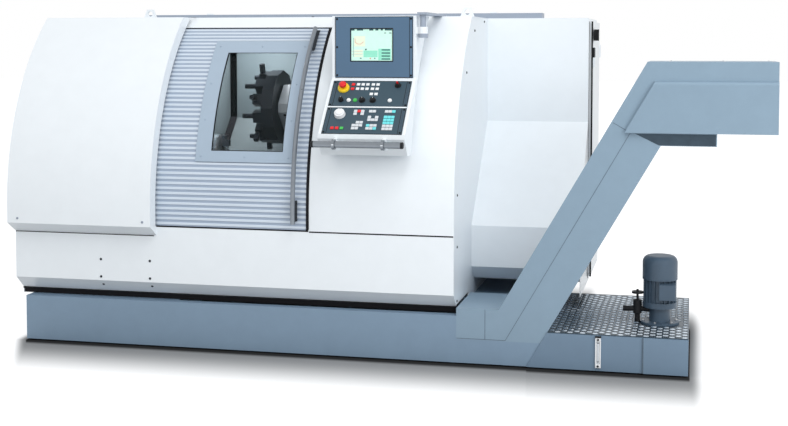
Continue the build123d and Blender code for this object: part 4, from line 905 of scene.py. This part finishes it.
def pump_trim():
    """Bolts round the pump's flange and the rounded shoulder of its fan cowl."""
    bolts = bmesh.new()
    x, y, _ = middle_of("pump_flange")
    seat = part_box("pump_flange")[0].z + 0.012
    for step in range(PUMP_BOLTS):
        angle = 2 * pi * (step + 0.25) / PUMP_BOLTS
        spot = Vector((x + BOLT_CIRCLE * cos(angle), y + BOLT_CIRCLE * sin(angle), seat))
        add_turned(bolts, facing(spot, TOP), PUMP_BOLT, 6)
    build("pump_bolts", bolts, "steel")
    curve = []
    for step in range(COWL_STEPS + 1):
        angle = step * pi / (2 * COWL_STEPS)
        curve.append((COWL_FLAT + (COWL_RADIUS - COWL_FLAT) * cos(angle), COWL_RISE * sin(angle)))
    outline = (*curve, (COWL_FLAT, COWL_RISE - COWL_WALL), (COWL_RADIUS - COWL_WALL, 0), curve[0])
    foot = facing((x, y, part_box("pump_fan_cowl")[1].z - COWL_RISE), TOP)
    single("cowl_shoulder", "motor_paint", add_turned, foot, outline, 48)


# Stage

FLOOR_HALF = 60
# Painted shadow on the floor: its white lift starts past LIFT_START and its colour runs through SHADOW_STOPS,
# both by the reach from the base and the tank
FLOOR_LIFT = 0.7
LIFT_START = 0.15
SHADOW_REACH = (0.1, 0.86, 1)
SHADOW_SKEW = 0.5
SHADOW_STOPS = ((0.05, 0.06), (0.11, 0.5), (0.36, 0.62), (1.0, 1.0))
WORLD_STRENGTH = 0.73
WHITE = (1, 1, 1, 1)

# Place from the middle of the stage, target, size and power of each studio lamp
STAGE_MIDDLE = Vector((0, 0, 1))
STUDIO_LAMPS = {
    "key_lamp": ((-3.5, -7, 4.5), (0, 0, 1), (5, 4), 70),
    "side_lamp": ((6.5, -5.5, 3), (0, 0, 1), (4, 4), 190),
    "top_lamp": ((2.2, -4.5, 6), (1.2, 0, 0.8), (3, 3), 150),
    "low_lamp": ((3.5, -5, -0.6), (1.0, 0.3, 0.6), (2, 1), 25),
}

# Place and target in the machine, size and power of each lamp of the working chamber
CHAMBER_LAMPS = {
    "chamber_lamp": ((1350, 930, 2000), (1300, 900, 1200), (0.6, 0.1), 2.8),
    "wall_lamp": ((1360, 790, 1940), (925, 1040, 1550), (0.2, 0.08), 15),
}

CAMERA_PLACE = (4131, -7366, 1871)
CAMERA_LENS = 58.58
CAMERA_SENSOR = 36
CAMERA_TILT = radians(3.198)
CAMERA_TURN = radians(13.146)
CAMERA_SHIFT = -0.12
CAMERA_REACH = 200


def seen_ray(nodes):
    """Output that is 1 for what the camera sees, also in mirrors and through glass."""
    path = nodes.add("LightPath", {}, "Is Camera Ray").node.outputs
    through = nodes.number("MAXIMUM", path["Is Glossy Ray"], path["Is Transmission Ray"])
    return nodes.number("MAXIMUM", path["Is Camera Ray"], through)


def shadow_reach(nodes):
    """Output that is 0 under the base and the tank and grows with the way from them, slower to the front."""
    sides = nodes.sides(nodes.where())
    left, front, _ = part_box("base_tray")[0]
    most = {"Value": sides["X"], "From Min": left, "From Max": -left, "To Min": SHADOW_SKEW, "To Max": 0}
    skew = {"Value": sides["Y"], "From Min": front, "From Max": front - 1,
            "To Max": nodes.add("MapRange", most, "Result")}
    across = nodes.number("SUBTRACT", sides["X"], nodes.add("MapRange", skew, "Result"))
    spot = nodes.add("CombineXYZ", {"X": across, "Y": sides["Y"]}, "Vector")
    reaches = []
    for node in ("base_tray", "coolant_tank"):
        low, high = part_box(node)
        middle = Vector((low.x + high.x, low.y + high.y, 0)) / 2
        half = Vector((high.x - low.x, high.y - low.y, 0)) / 2
        away = nodes.vector("ABSOLUTE", nodes.vector("SUBTRACT", spot, middle))
        outside = nodes.vector("MAXIMUM", nodes.vector("SUBTRACT", away, half), (0, 0, 0))
        reaches.append(nodes.vector("LENGTH", nodes.vector("DIVIDE", outside, SHADOW_REACH)))
    return nodes.number("MINIMUM", *reaches)


def make_floor(colour):
    """Wide floor that reads as white, save for the soft shadow that the photograph shows round the object."""
    shape = bmesh.new()
    bmesh.ops.create_grid(shape, x_segments=1, y_segments=1, size=FLOOR_HALF)
    floor = add_object("floor", shape)
    material = bpy.data.materials.new("floor_white")
    nodes = Nodes(material)
    reach = shadow_reach(nodes)
    # Painted shadow: the floor's colour and its white lift both darken towards the base and the tank
    stops = [(position, [channel * strength for channel in colour]) for position, strength in SHADOW_STOPS]
    lift = nodes.add("MapRange", {"Value": reach, "From Min": LIFT_START, "To Max": FLOOR_LIFT}, "Result",
                     interpolation_type="SMOOTHSTEP")
    nodes.fill(nodes.shader, {
        "Base Color": nodes.ramp(reach, stops),
        "Roughness": 0.9,
        "Specular IOR Level": 0.0,
        "Emission Color": WHITE,
        "Emission Strength": nodes.number("MULTIPLY", seen_ray(nodes), lift),
    })
    floor.data.materials.append(material)


def make_world():
    """Even studio light; the camera, mirrors and glass see white."""
    world = bpy.data.worlds.new("studio")
    bpy.context.scene.world = world
    nodes = Nodes(world, "Background")
    light = {"Value": seen_ray(nodes), "To Min": WORLD_STRENGTH, "To Max": 1}
    nodes.fill(nodes.shader, {"Color": WHITE, "Strength": nodes.add("MapRange", light, "Result")})


def make_lamp(name, point, target, size, power):
    """Soft lamp that looks at a point and isn't seen itself."""
    data = bpy.data.lights.new(name, "AREA")
    data.shape = "RECTANGLE"
    data.size, data.size_y = size
    data.energy = power
    lamp = bpy.data.objects.new(name, data)
    lamp.location = point
    lamp.rotation_euler = (Vector(target) - Vector(point)).to_track_quat("-Z", "Y").to_euler()
    lamp.visible_glossy = False
    lamp.visible_camera = False
    lamp.visible_transmission = False
    bpy.context.scene.collection.objects.link(lamp)


def make_camera():
    """Camera at the photograph's standpoint."""
    data = bpy.data.cameras.new("photo_camera")
    data.sensor_width = CAMERA_SENSOR
    data.lens = CAMERA_LENS
    data.shift_y = CAMERA_SHIFT
    data.clip_end = CAMERA_REACH
    camera = bpy.data.objects.new("photo_camera", data)
    camera.location = place(*CAMERA_PLACE)
    camera.rotation_euler = (pi / 2 - CAMERA_TILT, 0, CAMERA_TURN)
    bpy.context.scene.collection.objects.link(camera)
    bpy.context.scene.camera = camera


def set_stage(colours):
    """Floor, light and camera."""
    make_floor(colours.floor)
    make_world()
    for name, (offset, target, size, power) in STUDIO_LAMPS.items():
        make_lamp(name, STAGE_MIDDLE + Vector(offset), target, size, power)
    for name, (point, target, size, power) in CHAMBER_LAMPS.items():
        make_lamp(name, place(*point), place(*target), size, power)
    make_camera()
    bpy.context.scene.view_settings.view_transform = "Standard"


# Settings

def tint(label, words, value):
    """Colour property with its name, description and default."""
    return bpy.props.FloatVectorProperty(name=label, description=words, default=value, subtype="COLOR",
                                         size=3, min=0, max=1)


def size_setting(label, words, value, least, most):
    """Length property with its name, description, default and limits."""
    return bpy.props.FloatProperty(name=label, description=words, default=value, min=least, max=most,
                                   unit="LENGTH")


class LatheColours(bpy.types.PropertyGroup):
    white_paint: tint("White paint", "Covers, console and cabinet", (0.82, 0.87, 0.91))
    ribbed_silver: tint("Ribbed sheet", "Sliding door, tops of the ribs", (0.62, 0.70, 0.79))
    # Painted shade in the valleys between the door's ribs
    rib_shade: tint("Rib valleys", "Sliding door, between the ribs", (0.34, 0.41, 0.52))
    base_paint: tint("Base paint", "Base tray", (0.197, 0.285, 0.385))
    # Base paint darkened on the coolant tank as painted shade
    tank_paint: tint("Tank paint", "Coolant tank", (0.152, 0.226, 0.312))
    conveyor_paint: tint("Conveyor paint", "Conveyor housing", (0.225, 0.318, 0.405))
    frame_grey: tint("Window frame", "Frame round the window", (0.36, 0.45, 0.55))
    motor_paint: tint("Motor paint", "Motors and pump", (0.057, 0.091, 0.132))
    grey_sheet: tint("Grey sheet", "Roof duct and console arm", (0.31, 0.36, 0.44))
    turret_paint: tint("Turret paint", "Turret housing and cap", (0.55, 0.60, 0.64))
    chamber_steel: tint("Chamber sheet", "Liner of the working chamber", (0.115, 0.145, 0.158))
    slope_steel: tint("Way cover", "Sheet over the slope of the chamber", (0.15, 0.18, 0.19))
    screen_blue: tint("Screen panel", "Panel round the display", (0.075, 0.145, 0.235))
    panel_teal: tint("Operator panels", "Panels with the keys", (0.033, 0.066, 0.092))
    steel: tint("Bright steel", "Chuck, spindle, feet and small screws", (0.62, 0.64, 0.66))
    handle_steel: tint("Handle steel", "Tubes of the door and the console", (0.24, 0.265, 0.295))
    dark_handle: tint("Jaw steel", "Jaws of the chuck", (0.13, 0.15, 0.17))
    dark_steel: tint("Dark steel", "Turret, tools and screws", (0.03, 0.035, 0.042))
    casting: tint("Cast iron", "Bed, headstock and carriage", (0.20, 0.23, 0.25))
    # Tread plate: painted dark as the dark its sheet reflects; it also darkens the chute as painted shadow
    tread_plate: tint("Tread plate", "Lid of the tank", (0.045, 0.07, 0.095))
    lozenge_metal: tint("Lozenges", "Worn tops of the tread plate", (0.62, 0.70, 0.78))
    rubber: tint("Rubber", "Seals, belt and gaskets", (0.012, 0.012, 0.014))
    black_plastic: tint("Black plastic", "Knobs, brackets and caps", (0.014, 0.015, 0.017))
    red_plastic: tint("Red plastic", "Emergency stop and red keys", (0.75, 0.015, 0.02))
    white_plastic: tint("White plastic", "Hand knob and white keys", (0.80, 0.82, 0.84))
    yellow_plastic: tint("Yellow plastic", "Collar of the emergency stop", (0.92, 0.64, 0.02))
    green_plastic: tint("Green plastic", "Green keys", (0.06, 0.5, 0.09))
    cyan_plastic: tint("Cyan plastic", "Cyan keys", (0.16, 0.70, 0.74))
    grey_plastic: tint("Grey plastic", "Grey keys", (0.62, 0.66, 0.70))
    seam_shadow: tint("Seam", "Shadow in the folded seams", (0.10, 0.14, 0.18))
    window_glass: tint("Window", "Pane of the door", (0.03, 0.045, 0.05))
    display_glass: tint("Display", "Lit ground of the display", (0.60, 0.90, 0.78))
    display_dark: tint("Display dark", "Headings and bars of the display", (0.02, 0.09, 0.10))
    display_cyan: tint("Display blocks", "Value fields of the display", (0.28, 0.74, 0.56))
    display_plot: tint("Display plots", "Plot fields of the display", (0.80, 0.88, 0.70))
    display_line: tint("Display lines", "Curve and rules of the display", (0.70, 0.28, 0.18))
    floor: tint("Floor", "Studio floor", (0.55, 0.56, 0.57))


class LatheSizes(bpy.types.PropertyGroup):
    screw_radius: size_setting("Screw radius", "Head of the cover screws", 0.008, 0.003, 0.02)
    panel_screw_radius: size_setting("Panel screw radius", "Head of the console screws", 0.0065, 0.002, 0.012)
    bar_length: size_setting("Tread bar length", "Length of a bar of the tread plate", 0.032, 0.01, 0.06)
    bar_width: size_setting("Tread bar width", "Width of a bar of the tread plate", 0.0075, 0.003, 0.03)
    bar_cell: size_setting("Tread cell", "Side of the square that holds three bars", 0.036, 0.015, 0.08)


# Operators

class LATHE_OT_stage(bpy.types.Operator):
    """Set up floor, light and camera"""
    bl_idname = "lathe.stage"
    bl_label = "Stage"

    def execute(self, context):
        set_stage(context.scene.lathe_colours)
        return {"FINISHED"}


class LATHE_OT_casing(bpy.types.Operator):
    """Finish the covers and add their screws and gaskets"""
    bl_idname = "lathe.casing"
    bl_label = "Casing"

    def execute(self, context):
        dress("casing")
        casing_screws(context.scene.lathe_sizes.screw_radius)
        casing_seams()
        roof_trim()
        service_plates()
        cabinet_trim()
        return {"FINISHED"}


class LATHE_OT_door(bpy.types.Operator):
    """Finish the sliding door and its window"""
    bl_idname = "lathe.door"
    bl_label = "Sliding door"

    def execute(self, context):
        dress("door")
        door_trim(context.scene.lathe_sizes.screw_radius)
        return {"FINISHED"}


class LATHE_OT_chamber(bpy.types.Operator):
    """Finish the working chamber, chuck and turret"""
    bl_idname = "lathe.chamber"
    bl_label = "Working chamber"

    def execute(self, context):
        dress("chamber")
        chamber_sheets()
        chamber_lip()
        turret_trim()
        return {"FINISHED"}


class LATHE_OT_console(bpy.types.Operator):
    """Finish the operator console and add its keys"""
    bl_idname = "lathe.console"
    bl_label = "Console"

    def execute(self, context):
        dress("console")
        key_caps()
        round_controls()
        panel_edges()
        stop_collar()
        knob_details()
        screen_image()
        console_screws(context.scene.lathe_sizes.panel_screw_radius)
        return {"FINISHED"}


class LATHE_OT_conveyor(bpy.types.Operator):
    """Finish the chip conveyor"""
    bl_idname = "lathe.conveyor"
    bl_label = "Chip conveyor"

    def execute(self, context):
        dress("conveyor")
        conveyor_trim(context.scene.lathe_sizes.screw_radius)
        return {"FINISHED"}


class LATHE_OT_tank(bpy.types.Operator):
    """Finish the coolant tank and pump and add the tread plate's bars"""
    bl_idname = "lathe.tank"
    bl_label = "Coolant tank"

    def execute(self, context):
        sizes = context.scene.lathe_sizes
        dress("tank")
        tread_bars(sizes.bar_length, sizes.bar_width, sizes.bar_cell)
        tank_trim()
        pump_trim()
        return {"FINISHED"}


OPERATORS = (LATHE_OT_casing, LATHE_OT_door, LATHE_OT_chamber, LATHE_OT_console, LATHE_OT_conveyor,
             LATHE_OT_tank, LATHE_OT_stage)


class LATHE_PT_dress(bpy.types.Panel):
    """Lists the steps that dress the lathe"""
    bl_label = "Lathe"
    bl_idname = "LATHE_PT_dress"
    bl_space_type = "VIEW_3D"
    bl_region_type = "UI"
    bl_category = "Lathe"

    def draw(self, context):
        for operator in OPERATORS:
            self.layout.operator(operator.bl_idname)


CLASSES = (LatheColours, LatheSizes, *OPERATORS, LATHE_PT_dress)


def register():
    for entry in CLASSES:
        bpy.utils.register_class(entry)
    bpy.types.Scene.lathe_colours = bpy.props.PointerProperty(type=LatheColours)
    bpy.types.Scene.lathe_sizes = bpy.props.PointerProperty(type=LatheSizes)


def unregister():
    del bpy.types.Scene.lathe_sizes
    del bpy.types.Scene.lathe_colours
    for entry in reversed(CLASSES):
        bpy.utils.unregister_class(entry)


def main():
    register()
    bpy.ops.lathe.casing()
    bpy.ops.lathe.door()
    bpy.ops.lathe.chamber()
    bpy.ops.lathe.console()
    bpy.ops.lathe.conveyor()
    bpy.ops.lathe.tank()
    bpy.ops.lathe.stage()


if __name__ == "__main__":
    main()
